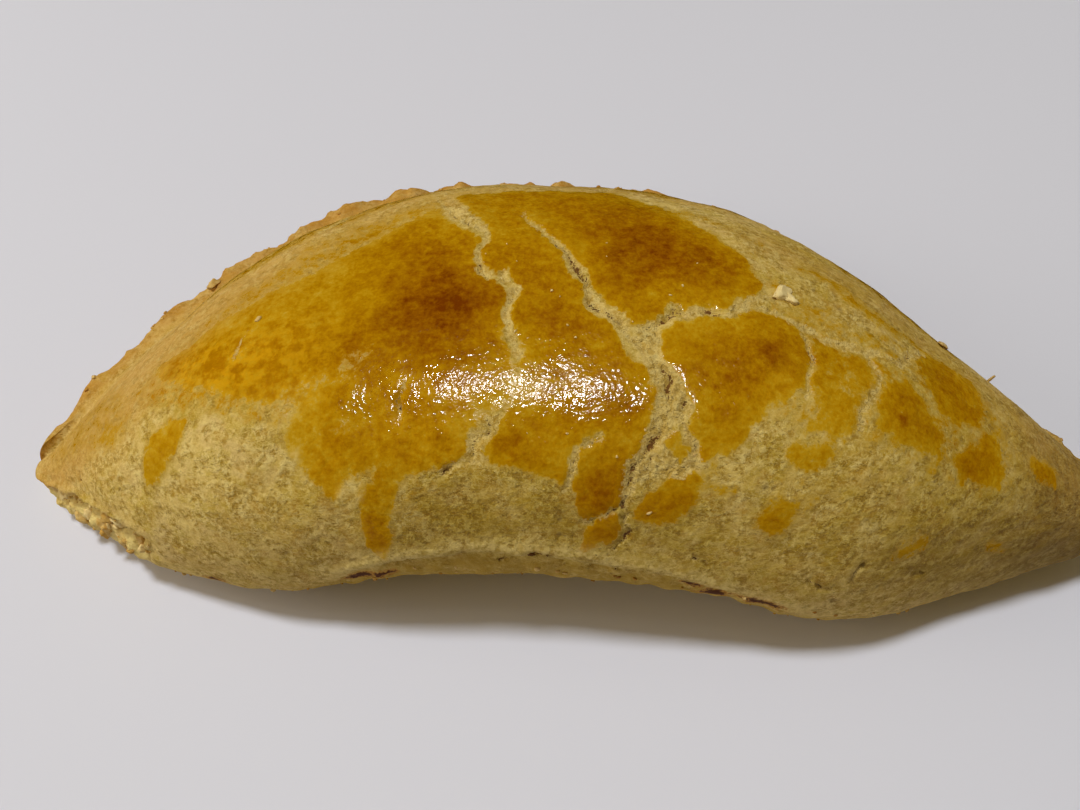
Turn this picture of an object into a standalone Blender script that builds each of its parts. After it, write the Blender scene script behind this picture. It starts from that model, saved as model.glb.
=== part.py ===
"""A folded meat pie, baked whole: one half-moon of shortcrust closed along its curved back edge.

A disc of dough is folded over its filling, so the long front side is the rounded fold and the back
carries the pinched, browned seal, which stands a little off the surface.  The pie lies on its flat
underside; in the oven the middle of the fold and the right tip have lifted clear of it.

Metres, +Z up, +X along the pie from the left tip to the right, -Y the folded side.  The origin is
the middle of the pie's box, on the surface it lies on.
"""
import math

import bmesh
import bpy
import numpy as np
from mathutils import Vector, noise

MM = 0.001

# ---- driving dimensions ---------------------------------------------------------------------
LENGTH = 130 * MM          # from tip to tip
SEAL_THICKNESS = 4.2 * MM  # the two layers of dough pinched together
TIP_START = 80.0           # degrees round the half-moon where the blunt tips begin to round off
PRESS = 1.2 * MM           # how far the soft underside is pressed flat by the pie's weight

# Sizes of the cross-section at places round the half-moon, in millimetres.  ANGLE runs from the
# left tip (-90) by the middle of the pie (0) to the right tip (90).
ANGLE = (-90, -75, -60, -45, -30, -15, 0, 15, 30, 45, 60, 75, 90)
SECTION = {
    "front": (-13, -15, -18.5, -23, -25.5, -25.6, -25.6, -26, -26.6, -22.8, -19.2, -17, -15.5),
    "back": (-9, -4, 6, 18, 28.5, 34.5, 36.8, 35, 27, 12.5, 1.8, -5.8, -10.5),
    "height": (5.5, 7.5, 12.5, 19.8, 26, 29.2, 30.8, 31, 28, 21.8, 16.2, 12, 9.5),
    "fold_lift": (2.5, 1.8, 1, 0.2, 0.5, 4.6, 5.4, 3.6, 0.8, 0.2, 2.4, 4.4, 5.4),
    "base_lift": (1.6, 0.8, 0, 0, 0, 0, 0, 0, 0, 0, 0.8, 3, 4.2),
    "crown": (0, 0, 0, 0.2, 2, 2.8, 1.3, 0.6, 0, 0, 0, 0, 0),
    "seal_width": (2, 3.5, 5, 7, 8, 8.5, 8.5, 8.5, 8, 6.5, 5, 3.5, 2),
    "seal_lift": (2.5, 3.5, 5.5, 8, 9.5, 9.2, 8, 7.8, 7, 5.5, 5.2, 5.6, 6),
}

# Rows of the cross-section's control points that later steps speak of.
LOWER_FRONT = 4            # the fold's lower edge
SEAL_ROOT = 12.85          # where the crust runs into the seal
SEAL_RIM = 16.5            # the seal's outer edge
BASE_ROW = 22              # the middle of the underside

# ---- relief ---------------------------------------------------------------------------------
LUMPS = ((26 * MM, 0.55 * MM), (9 * MM, 0.30 * MM), (3.5 * MM, 0.14 * MM))  # wavelength, height
CRIMP_PITCH = 7.5 * MM     # from one finger's dent in the seal to the next
CRIMP_DEPTH = 0.9 * MM
CRAG_HEIGHT = 1.1 * MM     # crumbly breaks along the seal's outer edge
CRACK_HALF_WIDTH = 1.3 * MM
CRACK_DEPTH = 0.9 * MM
CRACK_LIP = 0.25 * MM      # the dough stands up a little on both sides of a crack

# Cracks over the crust.  A point is (x in mm, way over): 0 is the fold's lower edge and 1 the root
# of the seal, measured along the crust.
CRACKS = (
    ((-3, 0.66), (0, 0.58), (2, 0.50), (4, 0.45), (8, 0.41), (10, 0.37), (9.5, 0.30), (7, 0.25), (6.5, 0.14)),
    ((6, 0.43), (12, 0.48), (17, 0.50), (21, 0.54)),
    ((-16, 0.82), (-10, 0.66), (-9, 0.56), (-5.5, 0.50), (-5.5, 0.44), (-4, 0.38)),
    ((-6, 0.33), (-9, 0.24)),
)

# Torn dough at the lower left tip and loose-standing flakes: (x in mm, way over, radius, height).
FLAKES = (
    (-61, 0.12, 1.5, 0.8), (-58, 0.05, 1.6, -1.0), (-55, 0.10, 1.6, 1.0), (-51.5, 0.07, 1.8, -0.9),
    (-48, 0.10, 1.6, 0.7), (48, 0.72, 1.4, 1.4), (23, 0.55, 1.9, 0.6), (-42, 1.04, 1.6, 1.3),
)

# ---- mesh -----------------------------------------------------------------------------------
RINGS = 109                # cross-sections between the tips
RING_POINTS = 53           # points round a cross-section
BASE_SHARE = 0.30          # density of points on the underside against the crust's


def section_size(name, angle):
    """One of the section's sizes in metres at these angles, on a smooth curve through its values."""
    places = np.array(ANGLE, float)
    values = np.array(SECTION[name], float) * MM
    slopes = np.gradient(values, places)
    i = np.clip(np.searchsorted(places, angle) - 1, 0, len(places) - 2)
    step = places[i + 1] - places[i]
    t = (angle - places[i]) / step
    return ((1 + 2 * t) * (1 - t) ** 2 * values[i] + t * (1 - t) ** 2 * step * slopes[i]
            + t * t * (3 - 2 * t) * values[i + 1] + t * t * (t - 1) * step * slopes[i + 1])


def section_controls(angle):
    """Control points (y, z) round each cross-section: under the fold, over the crust to the seal,
    round the seal and back along the underside."""
    sizes = {name: section_size(name, angle) for name in SECTION}
    front, back, height, crown = (sizes[name] for name in ("front", "back", "height", "crown"))
    fold, base, width, seal = (sizes[name] for name in ("fold_lift", "base_lift", "seal_width", "seal_lift"))
    root = back - width
    depth = root - front
    seal_top = seal + SEAL_THICKNESS
    points = []

    def crust(across, z):
        points.append(np.stack([front + across * depth, z], -1))

    def rim(across, z):
        points.append(np.stack([root + across * width, z], -1))

    crust(0.60, base - PRESS)
    crust(0.40, base - PRESS)
    crust(0.22, (base + fold) / 2 - 0.6 * PRESS)
    crust(0.09, 0.9 * fold + 0.2 * PRESS)
    crust(0.00, fold + 0.10 * height)
    crust(-0.035, fold + 0.30 * (height - fold))
    crust(0.015, fold + 0.66 * (height - fold))
    crust(0.13, fold + 0.93 * (height - fold))
    crust(0.30, 1.02 * height)
    crust(0.48, 1.03 * height)
    crust(0.66, 0.97 * height + 0.5 * crown)
    crust(0.83, 0.84 * height + crown)
    crust(0.955, np.maximum(0.60 * height + crown, seal_top))
    crust(1.00, np.maximum(0.30 * height, seal_top))
    rim(0.30, seal_top)
    rim(0.75, seal_top)
    rim(1.05, seal + 0.85 * SEAL_THICKNESS)
    rim(1.05, seal + 0.10 * SEAL_THICKNESS)
    rim(0.60, seal)
    rim(0.00, base + 0.80 * (seal - base))
    crust(0.88, base + 0.25 * (seal - base))
    crust(0.76, base - PRESS)

    controls = np.stack(points, -2)
    beyond = np.clip((np.abs(angle) - TIP_START) / (90 - TIP_START), 0, 1)
    shrink = np.sqrt(1 - beyond ** 2)[:, None, None]
    middle = np.stack([(front + back) / 2, (fold + height) / 2], -1)[:, None]
    return middle + (controls - middle) * shrink


def row_positions(count):
    """Where the points of a ring lie among the control rows, fewer of them on the underside."""
    rows = np.linspace(0, BASE_ROW, 600)
    on_base = (rows < LOWER_FRONT - 1.5) | (rows > BASE_ROW - 2)
    way = np.concatenate([[0], np.cumsum(np.where(on_base, BASE_SHARE, 1.0)[1:])])
    return np.interp(np.linspace(0, way[-1], count, endpoint=False), way, rows)


def spline_weights(rows, controls):
    """Weights of a closed uniform cubic B-spline at these rows."""
    weights = np.zeros((len(rows), controls))
    cell = np.floor(rows).astype(int)
    t = rows - cell
    blend = ((1 - t) ** 3 / 6, (3 * t ** 3 - 6 * t ** 2 + 4) / 6,
             (-3 * t ** 3 + 3 * t ** 2 + 3 * t + 1) / 6, t ** 3 / 6)
    for k, weight in enumerate(blend):
        weights[np.arange(len(rows)), (cell + k - 1) % controls] += weight
    return weights


def crust_grid(rings, ring_points):
    """The plain form: points[ring, place], with the row of each place."""
    even = np.linspace(-1, 1, rings)
    along = 0.55 * even + 0.45 * np.sin(even * math.pi / 2)
    angle = np.degrees(np.arcsin(along))
    rows = row_positions(ring_points)
    controls = section_controls(angle)
    points = np.empty((rings, ring_points, 3))
    points[..., 0] = along[:, None] * LENGTH / 2
    points[..., 1:] = np.einsum("pc,rcd->rpd", spline_weights(rows, controls.shape[1]), controls)
    return points, rows


def way_over(points, rows):
    """How far over the crust each point lies, 0 at the fold's lower edge and 1 at the seal's root,
    and the crust's length over each ring."""
    start = int(np.argmin(np.abs(rows - LOWER_FRONT)))
    turned = np.roll(points, -start, axis=1)
    steps = np.linalg.norm(np.diff(turned, axis=1), axis=2)
    way = np.concatenate([np.zeros((len(points), 1)), np.cumsum(steps, axis=1)], axis=1)
    full = way[:, int(np.argmin(np.abs(rows - SEAL_ROOT))) - start]
    around = way[:, -1] + np.linalg.norm(turned[:, 0] - turned[:, -1], axis=1)
    way = np.where(way > 0.75 * around[:, None], way - around[:, None], way)
    return np.roll(way, start, axis=1) / full[:, None], full


def outward(points):
    """Unit normals of the grid."""
    round_ring = np.roll(points, -1, axis=1) - np.roll(points, 1, axis=1)
    along = np.gradient(points, axis=0)
    normals = np.cross(along, round_ring)
    return normals / np.maximum(np.linalg.norm(normals, axis=2, keepdims=True), 1e-12)


def noise_at(points, wavelength):
    """Smooth noise between -1 and 1 at each point of the grid."""
    flat = points.reshape(-1, 3) / wavelength
    return np.array([noise.noise(Vector(p)) for p in flat]).reshape(points.shape[:2])


def distance_to_line(x, over, full, line):
    """Distance over the crust from each grid point to a line of (x in mm, way over) points."""
    nearest = np.full(x.shape, np.inf)
    for (x0, w0), (x1, w1) in zip(line, line[1:]):
        ax, ay = x0 * MM, w0 * full
        bx, by = x1 * MM - ax, w1 * full - ay
        px, py = x - ax, over * full - ay
        t = np.clip((px * bx + py * by) / (bx * bx + by * by), 0, 1)
        nearest = np.minimum(nearest, np.hypot(px - t * bx, py - t * by))
    return nearest


def crack_relief(distance):
    """A groove with low lips on both sides."""
    reach = distance / CRACK_HALF_WIDTH
    return CRACK_LIP * np.exp(-((reach - 1.8) / 0.7) ** 2) - CRACK_DEPTH * np.exp(-reach ** 2)


def seal_relief(points, rows):
    """Finger dents and crumbly breaks, only on the pinched seal."""
    share = np.clip(1 - np.abs(rows - SEAL_RIM) / 3.0, 0, 1)[None, :]
    rim = points[:, int(np.argmin(np.abs(rows - SEAL_RIM)))]
    along = np.concatenate([[0], np.cumsum(np.linalg.norm(np.diff(rim, axis=0), axis=1))])
    dents = np.cos(2 * math.pi * along / CRIMP_PITCH)[:, None] * CRIMP_DEPTH / 2
    crags = noise_at(points, 2.6 * MM) * CRAG_HEIGHT
    return share * (dents + crags)


def relief(points, rows):
    """Height of the baked surface over the plain form."""
    over, full = way_over(points, rows)
    full = full[:, None]
    x = points[..., 0]
    height = sum(size * noise_at(points, wavelength) for wavelength, size in LUMPS)
    height = height + seal_relief(points, rows)
    for line in CRACKS:
        height = height + crack_relief(distance_to_line(x, over, full, line))
    for flake_x, flake_over, radius, size in FLAKES:
        away = np.hypot(x - flake_x * MM, (over - flake_over) * full) / (radius * MM)
        height = height + size * MM * np.exp(-away ** 2)
    tips = np.clip((LENGTH / 2 - np.abs(x)) / (3 * MM), 0, 1)
    return height * tips


def baked_surface():
    """The grid with its relief, pressed flat underneath and centred over the origin."""
    points, rows = crust_grid(RINGS, RING_POINTS)
    points = points + outward(points) * relief(points, rows)[..., None]
    points[..., 2] = np.maximum(points[..., 2], 0)
    corners = points.reshape(-1, 3)
    middle = (corners.min(axis=0) + corners.max(axis=0)) / 2
    points[..., :2] -= middle[:2]
    return points


def solid_mesh(points):
    """One closed mesh: quads between the rings, a fan at each tip and one flat face underneath."""
    bm = bmesh.new()
    rings = [[bm.verts.new(p) for p in ring] for ring in points[1:-1].tolist()]
    count = len(rings[0])
    for ring, following in zip(rings, rings[1:]):
        for i in range(count):
            j = (i + 1) % count
            bm.faces.new((ring[i], ring[j], following[j], following[i]))
    for ring, tip, order in ((rings[0], points[0, 0], -1), (rings[-1], points[-1, 0], 1)):
        end = bm.verts.new(tip.tolist())
        for i in range(count):
            bm.faces.new((ring[i], ring[(i + 1) % count], end)[::order])
    bmesh.ops.recalc_face_normals(bm, faces=bm.faces)
    resting = [f for f in bm.faces if all(v.co.z == 0 for v in f.verts)]
    bmesh.ops.dissolve_faces(bm, faces=resting)
    bmesh.ops.triangulate(bm, faces=bm.faces)
    mesh = bpy.data.meshes.new("meat_pie")
    bm.to_mesh(mesh)
    bm.free()
    return mesh


def crust_material():
    """Egg-washed shortcrust baked golden."""
    material = bpy.data.materials.new("golden_crust")
    material.use_nodes = True
    shader = material.node_tree.nodes["Principled BSDF"]
    shader.inputs["Base Color"].default_value = (0.56, 0.30, 0.085, 1)
    shader.inputs["Roughness"].default_value = 0.5
    shader.inputs["Metallic"].default_value = 0.0
    return material


def build():
    for thing in list(bpy.data.objects):
        bpy.data.objects.remove(thing, do_unlink=True)
    mesh = solid_mesh(baked_surface())
    mesh.shade_smooth()
    mesh.set_sharp_from_angle(angle=math.radians(50))
    mesh.materials.append(crust_material())
    pie = bpy.data.objects.new("meat_pie", mesh)
    bpy.context.scene.collection.objects.link(pie)


build()
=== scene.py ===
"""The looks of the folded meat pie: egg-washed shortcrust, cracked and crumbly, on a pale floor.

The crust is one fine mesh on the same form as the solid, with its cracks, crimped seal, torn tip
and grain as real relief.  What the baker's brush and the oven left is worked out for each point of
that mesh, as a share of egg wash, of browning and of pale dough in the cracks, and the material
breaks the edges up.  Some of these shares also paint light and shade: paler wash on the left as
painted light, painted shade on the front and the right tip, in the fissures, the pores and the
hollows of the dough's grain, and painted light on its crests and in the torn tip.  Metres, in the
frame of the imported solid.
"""
import math
import random

import bmesh
import bpy
import numpy as np
from mathutils import Matrix, Vector, noise


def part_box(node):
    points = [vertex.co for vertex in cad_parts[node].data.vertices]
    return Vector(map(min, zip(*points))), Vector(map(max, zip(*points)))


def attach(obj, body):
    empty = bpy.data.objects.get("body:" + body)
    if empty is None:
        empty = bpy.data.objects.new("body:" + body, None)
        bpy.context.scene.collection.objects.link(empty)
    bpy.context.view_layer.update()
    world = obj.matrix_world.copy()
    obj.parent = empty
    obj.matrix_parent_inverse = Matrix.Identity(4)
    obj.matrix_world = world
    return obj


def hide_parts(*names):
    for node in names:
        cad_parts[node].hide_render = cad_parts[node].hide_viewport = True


MM = 0.001
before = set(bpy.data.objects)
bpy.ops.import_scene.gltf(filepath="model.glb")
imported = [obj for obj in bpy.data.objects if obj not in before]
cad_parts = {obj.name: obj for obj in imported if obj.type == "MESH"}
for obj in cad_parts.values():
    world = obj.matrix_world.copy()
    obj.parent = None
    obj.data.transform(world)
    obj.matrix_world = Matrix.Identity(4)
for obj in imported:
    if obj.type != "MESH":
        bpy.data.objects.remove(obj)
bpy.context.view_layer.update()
LOW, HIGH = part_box("meat_pie")

# ---- the form, as in the solid --------------------------------------------------------------
LENGTH = HIGH.x - LOW.x
SEAL_THICKNESS = 4.2 * MM
PRESS = 1.2 * MM
# Past this angle the sections shrink to a point at each tip.
TIP_START = 80
# Angles round the half-moon in degrees, and the section's sizes there in mm.
ANGLE = (-90, -75, -60, -45, -30, -15, 0, 15, 30, 45, 60, 75, 90)
SECTION = {
    "front": (-13, -15, -18.5, -23, -25.5, -25.6, -25.6, -26, -26.6, -22.8, -19.2, -17, -15.5),
    "back": (-9, -4, 6, 18, 28.5, 34.5, 36.8, 35, 27, 12.5, 1.8, -5.8, -10.5),
    "height": (5.5, 7.5, 12.5, 19.8, 26, 29.2, 30.8, 31, 28, 21.8, 16.2, 12, 9.5),
    "fold_lift": (2.5, 1.8, 1, 0.2, 0.5, 4.6, 5.4, 3.6, 0.8, 0.2, 2.4, 4.4, 5.4),
    "base_lift": (1.6, 0.8, 0, 0, 0, 0, 0, 0, 0, 0, 0.8, 3, 4.2),
    "crown": (0, 0, 0, 0.2, 2, 2.8, 1.3, 0.6, 0, 0, 0, 0, 0),
    "seal_width": (2, 3.5, 5, 7, 8, 8.5, 8.5, 8.5, 8, 6.5, 5, 3.5, 2),
    "seal_lift": (2.5, 3.5, 5.5, 8, 9.5, 9.2, 8, 7.8, 7, 5.5, 5.2, 5.6, 6),
}
# Rows of control points round a section: the fold's lower edge, the seal's root and rim, the last one.
LOWER_FRONT = 4
SEAL_ROOT = 12.85
SEAL_RIM = 16.5
BASE_ROW = 22
# Points of the mesh along the pie and round it, how thinly they lie on the underside, and the steps
# that are summed to space them.
RINGS = 341
RING_POINTS = 236
BASE_SHARE = 0.10
ROW_STEPS = 600
# Keeps a division from dividing by nothing.
TINY = 1e-12

# ---- relief ---------------------------------------------------------------------------------
# Noise as (wavelength in mm, height in mm, shift of the noise).
LUMPS = ((26, 0.55, 0), (9, 0.30, 0), (3.5, 0.10, 0))
DOUGH_GRAIN = ((2.1, 0.07, 0), (1.15, 0.05, 0))
CRAGS = ((2.6, 1.1, 0), (1.1, 0.5, 0))
TORN_EDGE = ((2.2, 0.7, 5), (0.9, 0.3, 6))
TORN_CRUMB = ((1.7, 0.8, 9), (0.8, 0.3, 2))
SPLIT_CRUMB = ((0.8, 0.13, 4), (0.45, 0.10, 1))
SPLIT_EDGE = ((1.2, 0.25, 3),)
FISSURE_EDGE = ((1.3, 0.3, 21), (0.5, 0.12, 5))
WASH_EDGE = ((1.2, 0.35, 17), (0.6, 0.22, 19))
FOLD_EDGE = ((4, 0.4, 2),)
UNDERSIDE_PITS = ((2.2, 0.35, 13),)
UNDERSIDE_COLOUR_EDGE = ((3, 0.5, 8),)
# How far noise carries a crack's or a brush mark's outline from its smooth course.
WANDER = ((5.5, 0.7, 0), (1.9, 0.4, 0), (0.9, 0.2, 0))
CRIMP_PITCH = 7.5 * MM
CRIMP_DEPTH = 0.9 * MM
SPLIT_DEPTH = 0.16 * MM
FISSURE_DEPTH = 0.40 * MM
PORE_DEPTH = 0.25 * MM
BLISTER_HEIGHT = 0.16 * MM
BLISTER_RIM = 0.28 * MM
WASH_HEIGHT = 0.05 * MM
LIP_HEIGHT = 0.35 * MM
HOLLOW_DEPTH = 1.1 * MM
ROLL_HEIGHT = 0.22 * MM
UNDERCUT = 0.55 * MM
# The relief fades out over this last stretch of each tip.
TIP_FADE = 1.5 * MM
# The crust's cells are cut finer within this reach of a crack.
REFINED = 0.45 * MM
# Where a crack isn't open, its fissure counts as this much further off.
CLOSED = 0.6 * MM
FAR = 9 * MM

# Places on the crust are (x in mm, way over): way over runs from 0 at the fold's lower edge to 1 at
# the root of the seal, measured along the crust.

# Cracks: points (x, way over, half-width of the pale split in mm, of the fissure in it in mm), the fissure
# painted dark as shade.
CRACKS = {
    "main": ((-5.4, 0.68, 0.1, 0), (-4.9, 0.665, 0.12, 0), (-2, 0.618, 0.2, 0.05), (-0.6, 0.578, 0.2, 0.16),
        (0.4, 0.554, 0.25, 0.24), (1.4, 0.535, 0.28, 0.32), (2.5, 0.515, 0.35, 0.08),
        (2.8, 0.492, 0.42, 0.1), (2.4, 0.476, 0.5, 0.3), (3.3, 0.469, 0.42, 0.22), (4.9, 0.454, 0.42, 0.16),
        (5.9, 0.435, 0.5, 0.08), (7.3, 0.425, 0.7, 0.05), (8.2, 0.41, 0.8, 0.1), (8.8, 0.39, 0.95, 0.1),
        (9.4, 0.381, 1, 0.5), (10.4, 0.373, 0.9, 0.34), (9.8, 0.357, 0.85, 0.3), (10.2, 0.337, 0.85, 0.14),
        (10.1, 0.32, 0.8, 0.05), (9.7, 0.308, 0.8, 0.3), (8.8, 0.297, 0.75, 0.5), (8.4, 0.285, 0.8, 0.1),
        (7.3, 0.268, 0.7, 0.3), (7.2, 0.252, 0.65, 0.28), (7.2, 0.231, 0.5, 0.12), (6.6, 0.209, 0.35, 0.22),
        (7, 0.194, 0.12, 0.28), (6.5, 0.186, 0.12, 0.26), (7, 0.169, 0.12, 0.24), (6.7, 0.148, 0.12, 0.2),
        (6.1, 0.136, 0.05, 0.1)),
    "main_piece": ((8.3, 0.449, 0.7, 0), (8.6, 0.43, 0.75, 0)),
    "main_wide": ((10.8, 0.362, 0.7, 0), (11.3, 0.346, 0.6, 0.26), (11, 0.33, 0.6, 0.05),
        (12.1, 0.314, 0.2, 0.12), (13.2, 0.3, 0.2, 0.1), (13.5, 0.285, 0.25, 0.12), (13.2, 0.272, 0.4, 0),
        (11.8, 0.262, 0.6, 0), (10, 0.268, 0.75, 0), (9.2, 0.28, 0.75, 0), (8, 0.255, 0.6, 0.05)),
    "right": ((7.7, 0.448, 0.4, 0.05), (9.8, 0.465, 0.2, 0.2), (11, 0.482, 0.25, 0.4),
        (12.2, 0.475, 0.1, 0.08), (13.8, 0.484, 0.15, 0.2), (15.8, 0.49, 0.15, 0.24), (16.6, 0.492, 0.3, 0),
        (17.4, 0.503, 0.4, 0), (18.6, 0.519, 0.45, 0), (19.5, 0.53, 0.35, 0), (21.5, 0.545, 0.4, 0)),
    "left": ((-15.6, 0.745, 0.15, 0), (-14.2, 0.716, 0.2, 0), (-12.8, 0.685, 0.26, 0),
        (-11.4, 0.66, 0.26, 0.08), (-9.3, 0.635, 0.26, 0), (-8.6, 0.611, 0.22, 0.05),
        (-9.4, 0.587, 0.24, 0.12), (-9.4, 0.571, 0.2, 0.16), (-9, 0.539, 0.2, 0.14),
        (-7.7, 0.523, 0.1, 0.12)),
    "left_low": ((-6.5, 0.539, 0.15, 0), (-6.1, 0.515, 0.3, 0.08), (-4.9, 0.499, 0.3, 0.08),
        (-5.7, 0.475, 0.3, 0.12), (-5.7, 0.459, 0.35, 0.1), (-5.3, 0.436, 0.25, 0), (-4.9, 0.42, 0.25, 0),
        (-4.1, 0.405, 0.15, 0), (-4.1, 0.389, 0.05, 0)),
    "small": ((-6.9, 0.31, 0.3, 0.16), (-6.5, 0.3, 0.3, 0.26), (-7.4, 0.292, 0.35, 0.22),
        (-8.2, 0.28, 0.6, 0.1), (-8.2, 0.26, 0.65, 0.12), (-9.6, 0.257, 0.3, 0.16),
        (-10.8, 0.25, 0.4, 0.3)),
    "low_line": ((6, 0.2, 0.1, 0.14), (5.2, 0.184, 0.1, 0.12), (3.9, 0.178, 0.14, 0.1),
        (2.8, 0.176, 0.2, 0.12)),
    "middle_line": ((3.7, 0.297, 0.12, 0), (2.5, 0.288, 0.15, 0.08), (1.4, 0.279, 0.18, 0.08),
        (1.2, 0.262, 0.2, 0), (1.1, 0.242, 0.22, 0.08), (0.8, 0.224, 0.2, 0)),
    "vein_right": ((18, 0.495, 0.2, 0), (20, 0.511, 0.35, 0.1), (23, 0.506, 0.4, 0), (26.5, 0.508, 0.4, 0),
        (29.3, 0.518, 0.5, 0), (32, 0.523, 0.4, 0), (34, 0.526, 0.4, 0), (38, 0.6, 0.5, 0.1)),
    "vein_down": ((24.4, 0.495, 0.1, 0.05), (24.2, 0.45, 0.12, 0.06), (23.4, 0.395, 0.2, 0)),
    "vein_far": ((30.3, 0.514, 0.2, 0), (31.4, 0.485, 0.2, 0), (30.4, 0.44, 0.35, 0), (29, 0.41, 0.4, 0),
        (29, 0.385, 0.4, 0)),
    "scratch": ((-15.2, 0.37, 0.1, 0.12), (-15.5, 0.345, 0.12, 0.18), (-15.3, 0.318, 0.08, 0.14)),
    "scratch_far": ((-33.7, 0.54, 0.1, 0.06), (-34.2, 0.5, 0.08, 0.1)),
    "slits_fold": ((-5.2, 0.096, 0.1, 0.3), (-3.8, 0.1, 0, 0.05), (-3.2, 0.11, 0.1, 0.34),
        (-0.4, 0.112, 0.1, 0.3)),
    "slit_fold_right": ((3.8, 0.094, 0.1, 0.2), (6.6, 0.09, 0.1, 0.36)),
    "slit_fold_left": ((-16.8, 0.096, 0.1, 0.3), (-14, 0.1, 0.1, 0.24)),
    "slit_right": ((14, 0.132, 0.1, 0.16), (15.3, 0.131, 0.1, 0.2)),
    "notch_right": ((31.2, 0.2, 0.1, 0.14), (30.5, 0.17, 0.15, 0.22), (30.8, 0.145, 0.12, 0.18)),
    "crease_right": ((36.4, 0.188, 0.1, 0.12), (38.2, 0.18, 0.1, 0.16)),
    "edge_right": ((25.9, 0.14, 0.1, 0.14), (27.4, 0.13, 0.12, 0.2), (28.9, 0.127, 0.1, 0.14)),
    "upper_right": ((29.2, 0.585, 0.1, 0.14), (30.4, 0.572, 0.15, 0.2), (33.5, 0.556, 0.15, 0.14),
        (36, 0.545, 0.1, 0.12)),
    "tip_slit": ((-55, 0.345, 0.1, 0.26), (-54.8, 0.32, 0.1, 0.36)),
    "back_middle": ((4, 0.96, 0.3, 0.1), (6.5, 0.87, 0.5, 0.16), (4, 0.78, 0.4, 0.1)),
    "back_left": ((-29, 0.9, 0.3, 0.1), (-26, 0.83, 0.5, 0.2), (-29.5, 0.77, 0.4, 0)),
    "back_right": ((27, 0.95, 0.4, 0.1), (23, 0.87, 0.5, 0.16), (25.5, 0.79, 0.4, 0)),
}

# Single pores (x, way over, radius in mm), and where fine pores cluster (x, way over, spread in mm).
PORES = (
    (25.2, 0.62, 0.4), (26.3, 0.6, 0.3), (28.9, 0.586, 0.35), (30.8, 0.32, 0.35), (20.5, 0.268, 0.35),
    (19.7, 0.267, 0.4), (27.4, 0.314, 0.25), (30.9, 0.192, 0.4), (29.3, 0.104, 0.6), (0.4, 0.176, 0.45),
    (0.4, 0.153, 0.5), (-8.6, 0.153, 0.3), (-3.3, 0.138, 0.3), (1.6, 0.154, 0.35), (-26.7, 0.324, 0.3),
    (-25.9, 0.293, 0.35), (-24, 0.165, 0.3), (-27.8, 0.146, 0.45), (-20.9, 0.115, 0.45),
    (-42.2, 0.259, 0.4), (32, 0.135, 0.4), (33.5, 0.15, 0.3), (-36, 0.33, 0.25), (-48, 0.3, 0.3),
    (44, 0.3, 0.3), (51, 0.36, 0.3),
)
PORE_CLUSTERS = (
    (17.8, 0.34, 3), (24.4, 0.347, 3.2), (20.1, 0.272, 2.4), (15, 0.28, 2.6), (21.3, 0.2, 3),
    (0.6, 0.165, 2.6), (-9.8, 0.243, 2.4), (-20.9, 0.41, 3), (9.5, 0.34, 3), (8, 0.25, 3), (-26, 0.29, 2.4),
    (-8.2, 0.27, 1.2), (32, 0.15, 4), (29.5, 0.4, 2), (12.8, 0.29, 1.6), (5, 0.12, 5), (-30, 0.35, 5),
    (-6, 0.15, 5),
)
# Small burst blisters (x, way over, radius in mm).
BLISTERS = (
    (-20.2, 0.23, 1), (-26.3, 0.294, 0.7), (-20.6, 0.11, 0.9), (13.2, 0.17, 0.6), (30.5, 0.26, 0.7),
)
# The fold's lower edge, and the upper edge of the tear at the left tip: (x, way over).
FRONT_FOLD = (
    (-30, 0.06), (-17, 0.1), (-9, 0.118), (0, 0.11), (8, 0.1), (15, 0.088), (24, 0.06), (34, 0.05),
)
TEAR = (
    (-66, 0.34), (-62, 0.285), (-56, 0.262), (-52.6, 0.225), (-49, 0.21), (-46.5, 0.19), (-44, 0.15),
)
TEAR_FROM, TEAR_TO = -70, -47

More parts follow.
